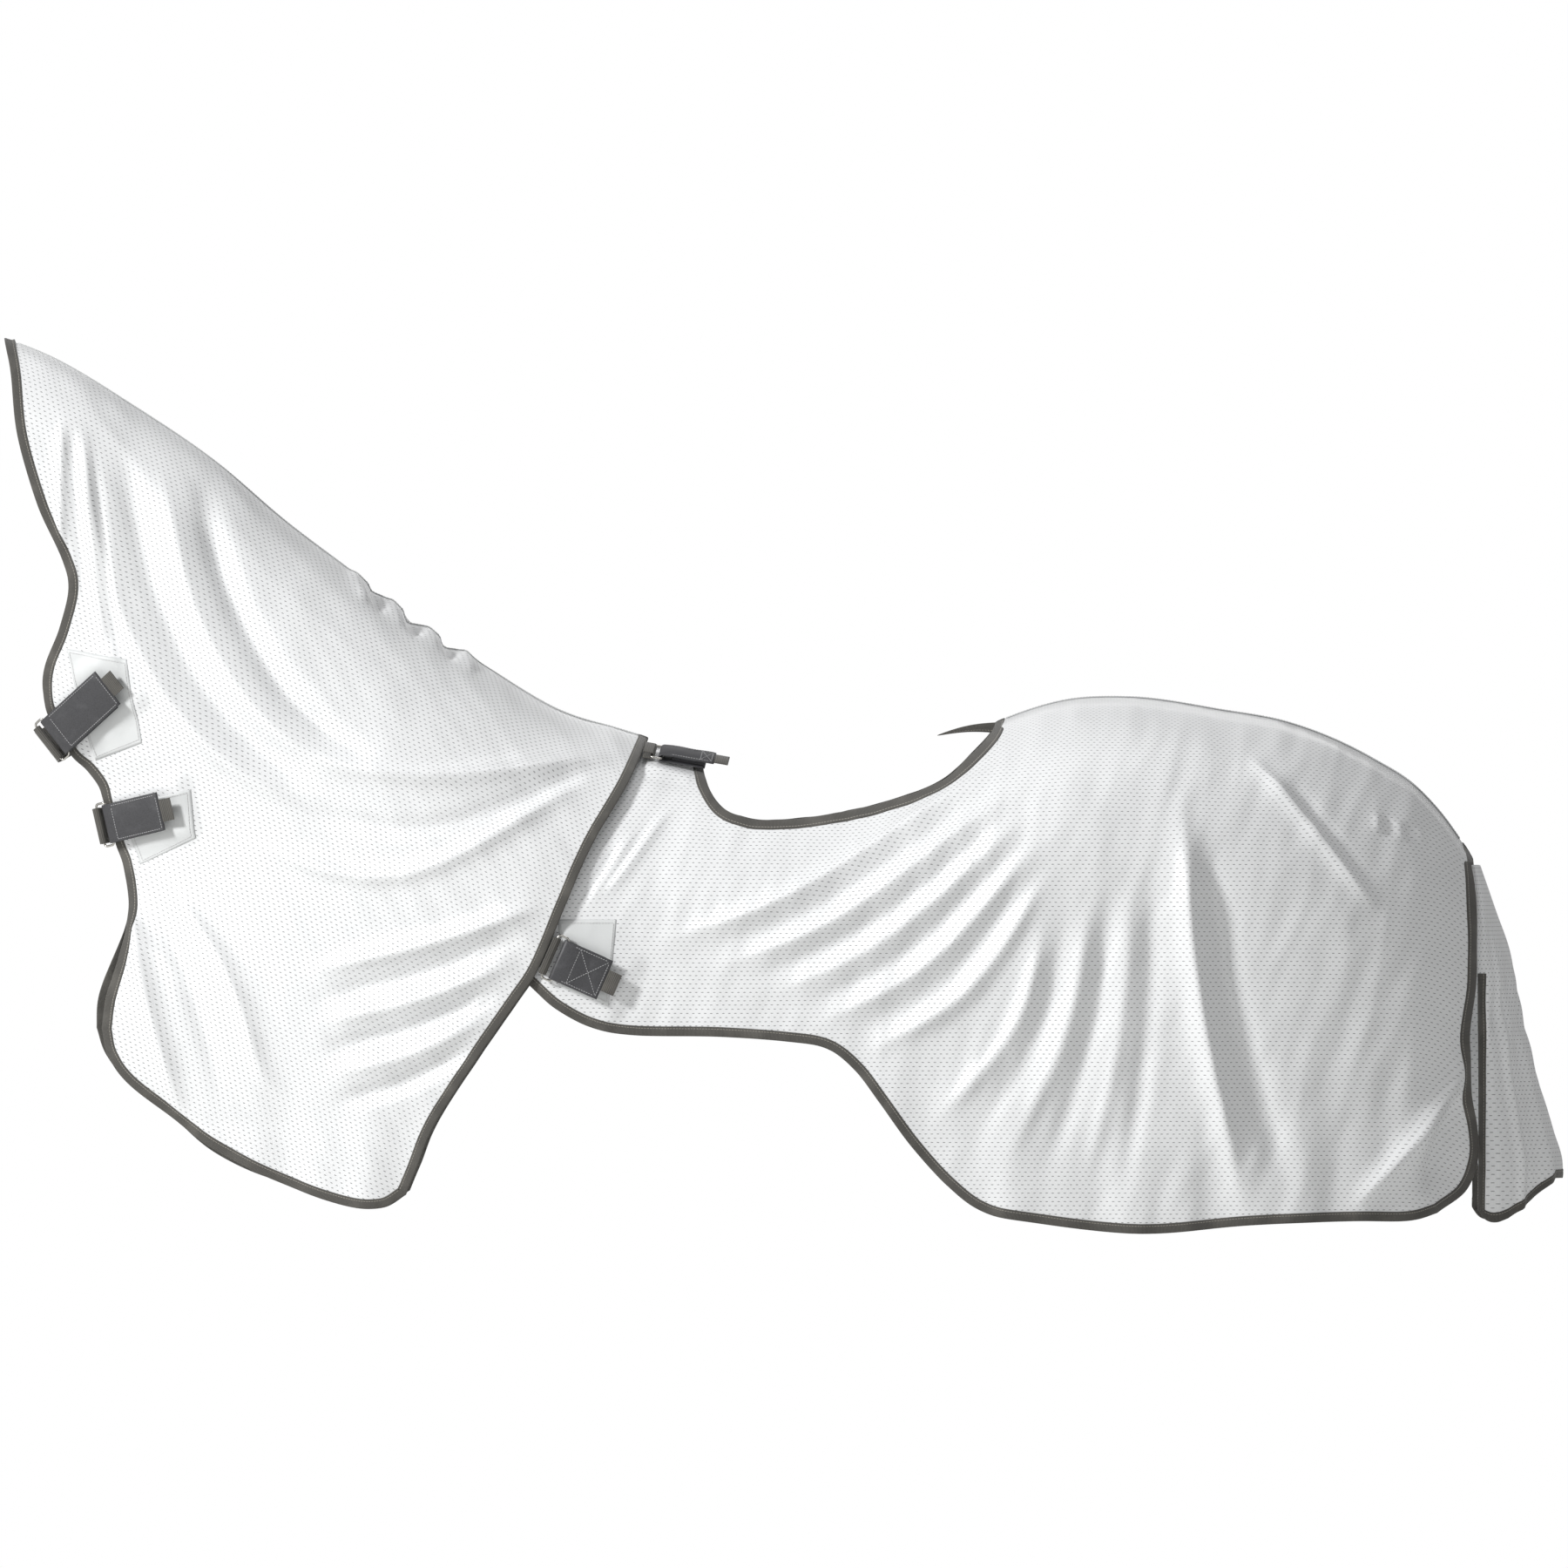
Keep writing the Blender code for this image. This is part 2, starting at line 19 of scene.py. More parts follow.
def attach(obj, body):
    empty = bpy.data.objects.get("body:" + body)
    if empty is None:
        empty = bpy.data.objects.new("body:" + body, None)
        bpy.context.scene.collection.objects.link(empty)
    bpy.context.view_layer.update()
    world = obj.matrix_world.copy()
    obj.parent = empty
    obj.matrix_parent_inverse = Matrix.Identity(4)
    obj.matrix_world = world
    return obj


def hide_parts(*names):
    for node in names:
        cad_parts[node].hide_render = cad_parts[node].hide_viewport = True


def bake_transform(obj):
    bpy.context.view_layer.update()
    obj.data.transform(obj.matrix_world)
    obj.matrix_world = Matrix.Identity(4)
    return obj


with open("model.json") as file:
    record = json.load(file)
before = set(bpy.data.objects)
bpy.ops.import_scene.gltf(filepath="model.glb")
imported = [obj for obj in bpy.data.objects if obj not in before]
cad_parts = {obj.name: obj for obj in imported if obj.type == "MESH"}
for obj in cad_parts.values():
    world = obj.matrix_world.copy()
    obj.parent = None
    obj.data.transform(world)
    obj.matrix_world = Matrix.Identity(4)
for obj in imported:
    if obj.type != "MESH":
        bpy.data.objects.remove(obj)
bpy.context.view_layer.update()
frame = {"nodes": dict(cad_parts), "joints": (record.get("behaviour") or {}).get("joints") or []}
log = logging.getLogger("fly_sheet")

Line = np.ndarray                       # points of the side view, one row each of x and z
Station = tuple[float, float, float, float]
Spot = tuple[float, float]

MM = 0.001
SEAM_CLEAR = 0.0003                     # distance of a panel's seam edge from the centre plane
TAPE_WIDTH = 0.0140                     # visible width of the edge binding
TAPE_HALF = 0.00105                     # half the thickness of a folded edge binding
CLOTH = 0.0006                          # thickness of the mesh cloth
NECK_LIFT = 0.0090                      # how far the neck cover lies outside the body sheet
DRAW_REACH = 0.10                       # distance over which the drawn-in front edge widens to the neck
# Spacing of the cloth's eyelets, along and down: wider than the 7.0 x 4.5 mm first taken, so that they draw evenly.
EYELET_PITCH = (0.0086, 0.0060)


class Side(Enum):
    """A side of the horse, with the sign of its Y."""

    LEFT = -1
    RIGHT = 1

    @property
    def word(self) -> str:
        """The side's name as it stands in a node's name."""
        return self.name.lower()


class Slot(Enum):
    """The record's material slots."""

    MESH = "mesh_cloth"
    PLAIN = "plain_cloth"
    TAPE = "binding_tape"
    LEATHER = "synthetic_leather"
    HOOK = "hook_tape"
    STEEL = "nickel_steel"


# --------------------------------------------------------------------------------------------- finishes


def linear(code: str, alpha: float = 1.0) -> tuple[float, float, float, float]:
    """Turns an sRGB hex colour to linear.

    Args:
        code: The colour as "#RRGGBB".
        alpha: Its fourth value.

    Returns:
        The linear red, green, blue and alpha.
    """
    parts = [int(code[i:i + 2], 16) / 255 for i in (1, 3, 5)]
    return (*[c / 12.92 if c <= 0.04045 else ((c + 0.055) / 1.055) ** 2.4 for c in parts], alpha)


def add(tree: bpy.types.NodeTree, kind: str, settings: dict | None = None,
        inputs: dict | None = None) -> bpy.types.Node:
    """Adds a node with its settings and links.

    Args:
        tree: The node tree that takes it.
        kind: The node's type name without "ShaderNode".
        settings: Values of the node's own properties.
        inputs: For an input's name or number, a value, or an output socket to link from.

    Returns:
        The new node.
    """
    node = tree.nodes.new(f"ShaderNode{kind}")
    for name, value in (settings or {}).items():
        setattr(node, name, value)
    for name, value in (inputs or {}).items():
        socket = node.inputs[name]
        if isinstance(value, bpy.types.NodeSocket):
            tree.links.new(value, socket)
        else:
            socket.default_value = value
    return node


def blank(name: str) -> tuple[bpy.types.Material, bpy.types.NodeTree, bpy.types.Node]:
    """Makes a material with only a Principled shader.

    Args:
        name: The material's name.

    Returns:
        The material, its node tree and its shader.
    """
    made = bpy.data.materials.new(name)
    made.use_nodes = True
    return made, made.node_tree, made.node_tree.nodes["Principled BSDF"]


def join_up(tree: bpy.types.NodeTree, shader: bpy.types.Node, colour: bpy.types.NodeSocket | None,
            rough: bpy.types.NodeSocket | None, height: bpy.types.NodeSocket | None,
            depth: float, strength: float = 1.0) -> None:
    """Links a pattern's colour, roughness and height to a shader.

    Args:
        tree: The material's node tree.
        shader: Its Principled shader.
        colour: Output that drives the base colour, or None.
        rough: Output that drives the roughness, or None.
        height: Output that drives the bump, from 0 to 1, or None.
        depth: What a height of 1 stands for, in metres.
        strength: How much of the bump is taken.
    """
    if colour:
        tree.links.new(colour, shader.inputs["Base Color"])
    if rough:
        tree.links.new(rough, shader.inputs["Roughness"])
    if height:
        bump = add(tree, "Bump", None, {"Height": height, "Distance": depth, "Strength": strength})
        tree.links.new(bump.outputs["Normal"], shader.inputs["Normal"])


@dataclass(frozen=True)
class MeshCloth:
    """Warp-knitted polyester mesh, finely ribbed and pierced by rows of short eyelets.

    Its filament yarns give a silvery satin lustre along the folds. The eyelets are not cut: each is a small dent
    painted grey as painted shade, the dark inside seen through a hole, so they read as small grey dashes; the rib
    troughs are painted slightly darker as shade.
    """

    name: str = "warp_knit_polyester_mesh"
    yarn: str = "#E6E7E8"
    shade: str = "#DBDCDD"
    # painted shade: the grey of the dark inside seen through an eyelet's hole
    eyelet_shade: str = "#858686"
    roughness: float = 0.38
    eyelet_size: tuple[float, float] = (0.00175, 0.00056)   # half length and half height of an eyelet
    rib: float = 0.00225                # rib spacing, a guess, coarse enough to show

    def make(self) -> bpy.types.Material:
        """Builds the material on the cloth's own UV map, which is in metres."""
        made, tree, shader = blank(self.name)
        uv = add(tree, "UVMap", {"uv_map": "weave"}).outputs["UV"]
        cell = (1 / EYELET_PITCH[0], 1 / EYELET_PITCH[1], 0)
        scaled = add(tree, "VectorMath", {"operation": "MULTIPLY"}, {0: uv, 1: cell})
        parts = add(tree, "SeparateXYZ", None, {0: scaled.outputs[0]})
        row = add(tree, "Math", {"operation": "FLOOR"}, {0: parts.outputs[1]})
        shifted = add(tree, "Math", {"operation": "MULTIPLY_ADD"},
                      {0: row.outputs[0], 1: 0.5, 2: parts.outputs[0]})
        brick = add(tree, "CombineXYZ", None, {0: shifted.outputs[0], 1: parts.outputs[1]})
        tile = add(tree, "VectorMath", {"operation": "FRACTION"}, {0: brick.outputs[0]})
        middle = add(tree, "VectorMath", {"operation": "SUBTRACT"}, {0: tile.outputs[0], 1: (0.5, 0.5, 0)})
        stretch = tuple(p / s for p, s in zip(EYELET_PITCH, self.eyelet_size))
        oval = add(tree, "VectorMath", {"operation": "MULTIPLY"}, {0: middle.outputs[0], 1: (*stretch, 0)})
        away = add(tree, "VectorMath", {"operation": "LENGTH"}, {0: oval.outputs[0]}).outputs["Value"]
        hole = add(tree, "MapRange", {"interpolation_type": "SMOOTHSTEP"},
                   {"Value": away, "From Min": 1.35, "From Max": 0.75}).outputs["Result"]
        ribs = add(tree, "TexWave", {"bands_direction": "X"},
                   {"Vector": uv, "Scale": 0.314 / self.rib, "Distortion": 0.4, "Detail Scale": 2.0})
        cloudy = add(tree, "TexNoise", None, {"Vector": uv, "Scale": 14.0, "Detail": 3.0})
        fuzz = add(tree, "TexNoise", None, {"Vector": uv, "Scale": 900.0, "Detail": 2.0})
        ground = add(tree, "Mix", {"data_type": "RGBA"},
                     {0: cloudy.outputs["Fac"], 6: linear(self.yarn), 7: linear(self.shade)})
        # Painted shade: the rib troughs, where the bump is low, are darkened slightly.
        ribbed = add(tree, "Mix", {"data_type": "RGBA", "blend_type": "MULTIPLY"},
                     {0: 0.015, 6: ground.outputs[2], 7: ribs.outputs["Color"]})
        # Painted shade: each eyelet is coloured grey for the dark inside seen through its hole, where the real cloth
        # is cut; the same mask dents the bump.
        colour = add(tree, "Mix", {"data_type": "RGBA"},
                     {0: hole, 6: ribbed.outputs[2], 7: linear(self.eyelet_shade)})
        rough = add(tree, "MapRange", None, {"Value": fuzz.outputs["Fac"], "To Min": self.roughness - 0.05,
                                             "To Max": self.roughness + 0.10})
        yarns = add(tree, "Math", {"operation": "MULTIPLY_ADD"},
                    {0: ribs.outputs["Fac"], 1: 0.05, 2: fuzz.outputs["Fac"]})
        height = add(tree, "Math", {"operation": "SUBTRACT"}, {0: yarns.outputs[0], 1: hole})
        join_up(tree, shader, colour.outputs[2], rough.outputs["Result"], height.outputs[0], 0.25 * MM, 0.7)
        shader.inputs["Sheen Weight"].default_value = 0.15
        shader.inputs["Sheen Roughness"].default_value = 0.4
        shader.inputs["Specular IOR Level"].default_value = 0.55
        return made


@dataclass(frozen=True)
class PlainCloth:
    """Woven polyester taffeta of the patches and seam ribbons: white, smooth and closely woven."""

    name: str = "polyester_taffeta"
    yarn: str = "#D3D5D5"
    shade: str = "#C8CACA"
    thread: float = 0.0016              # thread spacing, a guess, coarse enough to show

    def make(self) -> bpy.types.Material:
        """Builds the material on the piece's own UV map, which is in metres."""
        made, tree, shader = blank(self.name)
        uv = add(tree, "UVMap", {"uv_map": "weave"}).outputs["UV"]
        weft = add(tree, "TexWave", {"bands_direction": "Y"}, {"Vector": uv, "Scale": 0.314 / self.thread})
        warp = add(tree, "TexWave", {"bands_direction": "X"}, {"Vector": uv, "Scale": 0.314 / self.thread})
        weave = add(tree, "Math", {"operation": "MULTIPLY"},
                    {0: weft.outputs["Fac"], 1: warp.outputs["Fac"]}).outputs[0]
        cloudy = add(tree, "TexNoise", None, {"Vector": uv, "Scale": 30.0, "Detail": 3.0})
        colour = add(tree, "Mix", {"data_type": "RGBA"},
                     {0: cloudy.outputs["Fac"], 6: linear(self.yarn), 7: linear(self.shade)})
        rough = add(tree, "MapRange", None, {"Value": weave, "To Min": 0.52, "To Max": 0.62})
        join_up(tree, shader, colour.outputs[2], rough.outputs["Result"], weave, 0.10 * MM, 0.5)
        shader.inputs["Sheen Weight"].default_value = 0.1
        return made


@dataclass(frozen=True)
class Webbing:
    """Woven polypropylene tape: dark warm grey, with cross ribs, a faint sheen and paler worn patches."""

    name: str
    yarn: str = "#54524D"
    # painted shade of the grooves between the ribs
    shade: str = "#3D3B38"
    worn: str = "#6B6862"
    rib: float = 0.0016                 # spacing of the cross ribs
    stitch: str = "#8E8A82"
    stitch_pitch: float = 0.0042        # length of one stitch with its gap
    stitch_at: float = 0.0              # distance of the stitch line from the tape's outer edge, 0 for none

    def make(self) -> bpy.types.Material:
        """Builds the material on the tape's UV map: along it, then across it from its outer edge."""
        made, tree, shader = blank(self.name)
        uv = add(tree, "UVMap", {"uv_map": "weave"}).outputs["UV"]
        parts = add(tree, "SeparateXYZ", None, {0: uv})
        ribs = add(tree, "TexWave", {"bands_direction": "X"},
                   {"Vector": uv, "Scale": 0.314 / self.rib, "Distortion": 0.3, "Detail Scale": 3.0})
        fuzz = add(tree, "TexNoise", None, {"Vector": uv, "Scale": 700.0, "Detail": 3.0})
        patchy = add(tree, "TexNoise", None, {"Vector": uv, "Scale": 22.0, "Detail": 4.0})
        # Painted shade: the grooves between the cross ribs, where the bump is low, take the darker shade colour and
        # the rib tops the yarn colour.
        ground = add(tree, "Mix", {"data_type": "RGBA"},
                     {0: ribs.outputs["Fac"], 6: linear(self.shade), 7: linear(self.yarn)})
        wear = add(tree, "MapRange", None, {"Value": patchy.outputs["Fac"], "From Min": 0.5, "From Max": 0.75,
                                            "To Max": 0.5})
        colour = add(tree, "Mix", {"data_type": "RGBA"},
                     {0: wear.outputs["Result"], 6: ground.outputs[2], 7: linear(self.worn)}).outputs[2]
        height = add(tree, "Math", {"operation": "MULTIPLY_ADD"},
                     {0: fuzz.outputs["Fac"], 1: 0.4, 2: ribs.outputs["Fac"]}).outputs[0]
        if self.stitch_at:
            off = add(tree, "Math", {"operation": "SUBTRACT"}, {0: parts.outputs[1], 1: self.stitch_at})
            near = add(tree, "Math", {"operation": "ABSOLUTE"}, {0: off.outputs[0]})
            row = add(tree, "MapRange", None, {"Value": near.outputs[0], "From Min": 0.0006,
                                               "From Max": 0.0003}).outputs["Result"]
            beat = add(tree, "Math", {"operation": "PINGPONG"}, {0: parts.outputs[0], 1: self.stitch_pitch / 2})
            on = add(tree, "MapRange", None, {"Value": beat.outputs[0], "From Min": self.stitch_pitch * 0.10,
                                              "From Max": self.stitch_pitch * 0.18}).outputs["Result"]
            thread = add(tree, "Math", {"operation": "MULTIPLY"}, {0: row, 1: on}).outputs[0]
            colour = add(tree, "Mix", {"data_type": "RGBA"},
                         {0: thread, 6: colour, 7: linear(self.stitch)}).outputs[2]
            height = add(tree, "Math", {"operation": "MULTIPLY_ADD"}, {0: thread, 1: 1.2, 2: height}).outputs[0]
        rough = add(tree, "MapRange", None, {"Value": fuzz.outputs["Fac"], "To Min": 0.68, "To Max": 0.88})
        join_up(tree, shader, colour, rough.outputs["Result"], height, 0.30 * MM, 0.8)
        shader.inputs["Sheen Weight"].default_value = 0.2
        return made


@dataclass(frozen=True)
class Leather:
    """Embossed PU synthetic leather: charcoal, with a fine pebble grain, a soft sheen and paler worn patches."""

    name: str = "embossed_pu_leather"
    face: str = "#414144"
    # painted shade of the hollows between the pebbles
    pit: str = "#323234"
    worn: str = "#59595C"
    grain: float = 0.0016               # width of one pebble of the grain

    def make(self) -> bpy.types.Material:
        """Builds the material on the strap's UV map, which is in metres."""
        made, tree, shader = blank(self.name)
        uv = add(tree, "UVMap", {"uv_map": "weave"}).outputs["UV"]
        pebble = add(tree, "TexVoronoi", {"feature": "SMOOTH_F1"},
                     {"Vector": uv, "Scale": 1 / self.grain, "Smoothness": 0.6}).outputs["Distance"]
        patchy = add(tree, "TexNoise", None, {"Vector": uv, "Scale": 45.0, "Detail": 5.0})
        # Painted shade: the hollows between the pebbles, which the bump sinks, are coloured darker than the pebble
        # tops.
        ground = add(tree, "Mix", {"data_type": "RGBA"},
                     {0: pebble, 6: linear(self.face), 7: linear(self.pit)}).outputs[2]
        wear = add(tree, "MapRange", None, {"Value": patchy.outputs["Fac"], "From Min": 0.55, "From Max": 0.8,
                                            "To Max": 0.45}).outputs["Result"]
        colour = add(tree, "Mix", {"data_type": "RGBA"}, {0: wear, 6: ground, 7: linear(self.worn)})
        rough = add(tree, "MapRange", None, {"Value": patchy.outputs["Fac"], "To Min": 0.40, "To Max": 0.60})
        join_up(tree, shader, colour.outputs[2], rough.outputs["Result"], pebble, -0.12 * MM, 0.6)
        shader.inputs["Specular IOR Level"].default_value = 0.5
        return made


@dataclass(frozen=True)
class HookTape:
    """Moulded nylon hook tape: near black and matt, with a close grid of tiny hooks."""

    name: str = "nylon_hook_tape"
    # base and tip: painted shade of the ground between the hooks and painted highlight of the hook tips
    base: str = "#2C2C2E"
    tip: str = "#454548"
    pitch: float = 0.0018               # hook spacing, a guess, coarse enough to show

    def make(self) -> bpy.types.Material:
        """Builds the material on Object coordinates: the piece stays where it was made."""
        made, tree, shader = blank(self.name)
        spot = add(tree, "TexCoord").outputs["Object"]
        hooks = add(tree, "TexVoronoi", {"feature": "F1"},
                    {"Vector": spot, "Scale": 1 / self.pitch, "Randomness": 0.35}).outputs["Distance"]
        # Painted light and shade: the raised hook tips are coloured lighter and the ground between them darker,
        # following the bump.
        colour = add(tree, "Mix", {"data_type": "RGBA"}, {0: hooks, 6: linear(self.tip), 7: linear(self.base)})
        join_up(tree, shader, colour.outputs[2], None, hooks, -0.5 * MM, 1.0)
        shader.inputs["Roughness"].default_value = 0.82
        return made


@dataclass(frozen=True)
class NickelSteel:
    """Nickel-plated steel wire: bright and slightly warm, with faint drawing marks and small dull patches."""

    name: str = "nickel_plated_steel"
    bright: str = "#C9C7C2"
    dull: str = "#A9A6A0"

    def make(self) -> bpy.types.Material:
        """Builds the material on Object coordinates."""
        made, tree, shader = blank(self.name)
        spot = add(tree, "TexCoord").outputs["Object"]
        patchy = add(tree, "TexNoise", None, {"Vector": spot, "Scale": 160.0, "Detail": 4.0})
        fine = add(tree, "TexNoise", None, {"Vector": spot, "Scale": 1500.0, "Detail": 2.0})
        colour = add(tree, "Mix", {"data_type": "RGBA"},
                     {0: patchy.outputs["Fac"], 6: linear(self.bright), 7: linear(self.dull)})
        rough = add(tree, "MapRange", None, {"Value": patchy.outputs["Fac"], "To Min": 0.16, "To Max": 0.36})
        join_up(tree, shader, colour.outputs[2], rough.outputs["Result"], fine.outputs["Fac"], 0.03 * MM, 0.5)
        shader.inputs["Metallic"].default_value = 1.0
        return made


@dataclass(frozen=True)
class Thread:
    """Bonded polyester sewing thread: light grey on the straps, each stitch a small raised grain."""

    name: str
    yarn: str = "#B9B9BA"
    shade: str = "#98989A"

    def make(self) -> bpy.types.Material:
        """Builds the material on Object coordinates: the twist shows as fine light and dark."""
        made, tree, shader = blank(self.name)
        spot = add(tree, "TexCoord").outputs["Object"]
        twist = add(tree, "TexNoise", None, {"Vector": spot, "Scale": 2200.0, "Detail": 1.0})
        colour = add(tree, "Mix", {"data_type": "RGBA"},
                     {0: twist.outputs["Fac"], 6: linear(self.yarn), 7: linear(self.shade)})
        join_up(tree, shader, colour.outputs[2], None, twist.outputs["Fac"], 0.08 * MM, 0.6)
        shader.inputs["Roughness"].default_value = 0.6
        return made


@dataclass(frozen=True)
class Floor:
    """Matt painted studio floor, pale and plain."""

    name: str = "painted_studio_floor"
    paint: str = "#F2F2F0"

    def make(self) -> bpy.types.Material:
        """Builds the material: a faint unevenness of the paint."""
        made, tree, shader = blank(self.name)
        spot = add(tree, "TexCoord").outputs["Object"]
        uneven = add(tree, "TexNoise", None, {"Vector": spot, "Scale": 2.0, "Detail": 3.0})
        rough = add(tree, "MapRange", None, {"Value": uneven.outputs["Fac"], "To Min": 0.75, "To Max": 0.85})
        join_up(tree, shader, None, rough.outputs["Result"], None, 0.0)
        shader.inputs["Base Color"].default_value = linear(self.paint)
        return made


@dataclass
class Finishes:
    """Every material of the sheet, each made once."""

    cloth: bpy.types.Material = field(default_factory=lambda: MeshCloth().make())
    plain: bpy.types.Material = field(default_factory=lambda: PlainCloth().make())
    binding: bpy.types.Material = field(
        default_factory=lambda: Webbing("folded_binding_tape", stitch_at=0.0108).make())
    webbing: bpy.types.Material = field(
        default_factory=lambda: Webbing("ribbed_webbing", yarn="#5A5853", shade="#393734", rib=0.0026).make())
    leather: bpy.types.Material = field(default_factory=lambda: Leather().make())
    hook: bpy.types.Material = field(default_factory=lambda: HookTape().make())
    steel: bpy.types.Material = field(default_factory=lambda: NickelSteel().make())
    thread: bpy.types.Material = field(default_factory=lambda: Thread("grey_sewing_thread").make())
    white_thread: bpy.types.Material = field(
        default_factory=lambda: Thread("white_sewing_thread", "#CFCFCF", "#B4B4B4").make())


# ------------------------------------------------------------------------------------ the horse's form


def smooth_through(xs: np.ndarray, ys: np.ndarray, at: np.ndarray) -> np.ndarray:
    """Values on a smooth curve through points.

    Args:
        xs: Rising positions of the points.
        ys: Their values.
        at: Positions to read the curve at, held to its ends.

    Returns:
        One value for each position.
    """
    slopes = np.gradient(ys, xs)
    at = np.clip(at, xs[0], xs[-1])
    i = np.clip(np.searchsorted(xs, at) - 1, 0, len(xs) - 2)
    h = xs[i + 1] - xs[i]
    t = (at - xs[i]) / h
    return ((2 * t**3 - 3 * t**2 + 1) * ys[i] + (t**3 - 2 * t**2 + t) * h * slopes[i]
            + (3 * t**2 - 2 * t**3) * ys[i + 1] + (t**3 - t**2) * h * slopes[i + 1])


def evenly(line: Line, count: int) -> Line:
    """Resamples a line at even steps along it.

    Args:
        line: Its points.
        count: How many points to return.

    Returns:
        The new points, with the old first and last ones.
    """
    run = np.concatenate([[0], np.cumsum(np.linalg.norm(np.diff(line, axis=0), axis=1))])
    at = np.linspace(0, run[-1], count)
    return np.stack([np.interp(at, run, line[:, k]) for k in range(line.shape[1])], axis=1)


def spline(points: tuple[Spot, ...], count: int) -> Line:
    """A smooth curve through side-view points.

    Args:
        points: The points that it passes.
        count: How many points to return.

    Returns:
        Points evenly spaced along the curve.
    """
    p = [np.array(q, float) for q in points]
    p = [2 * p[0] - p[1], *p, 2 * p[-1] - p[-2]]
    fine = [0.5 * (2 * b + (c - a) * t + (2 * a - 5 * b + 4 * c - d) * t**2 + (3 * b - a - 3 * c + d) * t**3)
            for a, b, c, d in zip(p, p[1:], p[2:], p[3:]) for t in np.linspace(0, 1, 12, endpoint=False)]
    return evenly(np.array([*fine, p[-2]]), count)


def inset(line: Line, distance: float) -> Line:
    """Moves a line to its left by a distance, mitred at its corners.

    Args:
        line: Its points.
        distance: How far it moves.

    Returns:
        The moved line, its ends moved straight across.
    """
    along = np.diff(line, axis=0)
    along /= np.linalg.norm(along, axis=1)[:, None]
    left = np.stack([-along[:, 1], along[:, 0]], axis=1)
    before, after = np.vstack([left[:1], left]), np.vstack([left, left[-1:]])
    spread = 1 + np.sum(before * after, axis=1)
    return line + distance * (before + after) / np.maximum(spread, 0.5)[:, None]


def ease(t: np.ndarray) -> np.ndarray:
    """A smooth step from 0 to 1."""
    t = np.clip(t, 0, 1)
    return t * t * (3 - 2 * t)


@dataclass(frozen=True)
class Fold:
    """One fold of the hanging cloth: a soft ridge, or a valley where its height is negative."""

    path: tuple[Spot, ...]
    width: float
    height: float

    def rise(self, x: np.ndarray, z: np.ndarray, shift: float = 0.0) -> np.ndarray:
        """How far the fold lifts the cloth.

        Args:
            x: Side-view positions along the horse.
            z: Their heights.
            shift: Distance that the fold is moved along the horse.

        Returns:
            The lift at each position.
        """
        line = spline(self.path, 4 * len(self.path))
        line = line + np.array((shift, 0.0))
        lifted = np.zeros(x.shape)
        reach = 3.2 * self.width
        low, high = line.min(axis=0) - reach, line.max(axis=0) + reach
        near = (x > low[0]) & (x < high[0]) & (z > low[1]) & (z < high[1])
        if not near.any():
            return lifted
        spots = np.stack([x[near], z[near]], axis=1)
        start, step = line[:-1], np.diff(line, axis=0)
        length = np.sum(step**2, axis=1)
        t = np.clip(np.einsum("nsk,sk->ns", spots[:, None] - start, step) / length, 0, 1)
        gap = np.linalg.norm(spots[:, None] - start - t[..., None] * step, axis=2)
        best = np.argmin(gap, axis=1)
        row = np.arange(len(best))
        along = (best + t[row, best]) / len(step)
        away = gap[row, best] / self.width
        fade = ease(along / 0.28) * ease((1 - along) / 0.28)
        sharp = 1.5 if self.height > 0 else 2.0
        lifted[near] = self.height * np.exp(-away**sharp) * fade
        return lifted


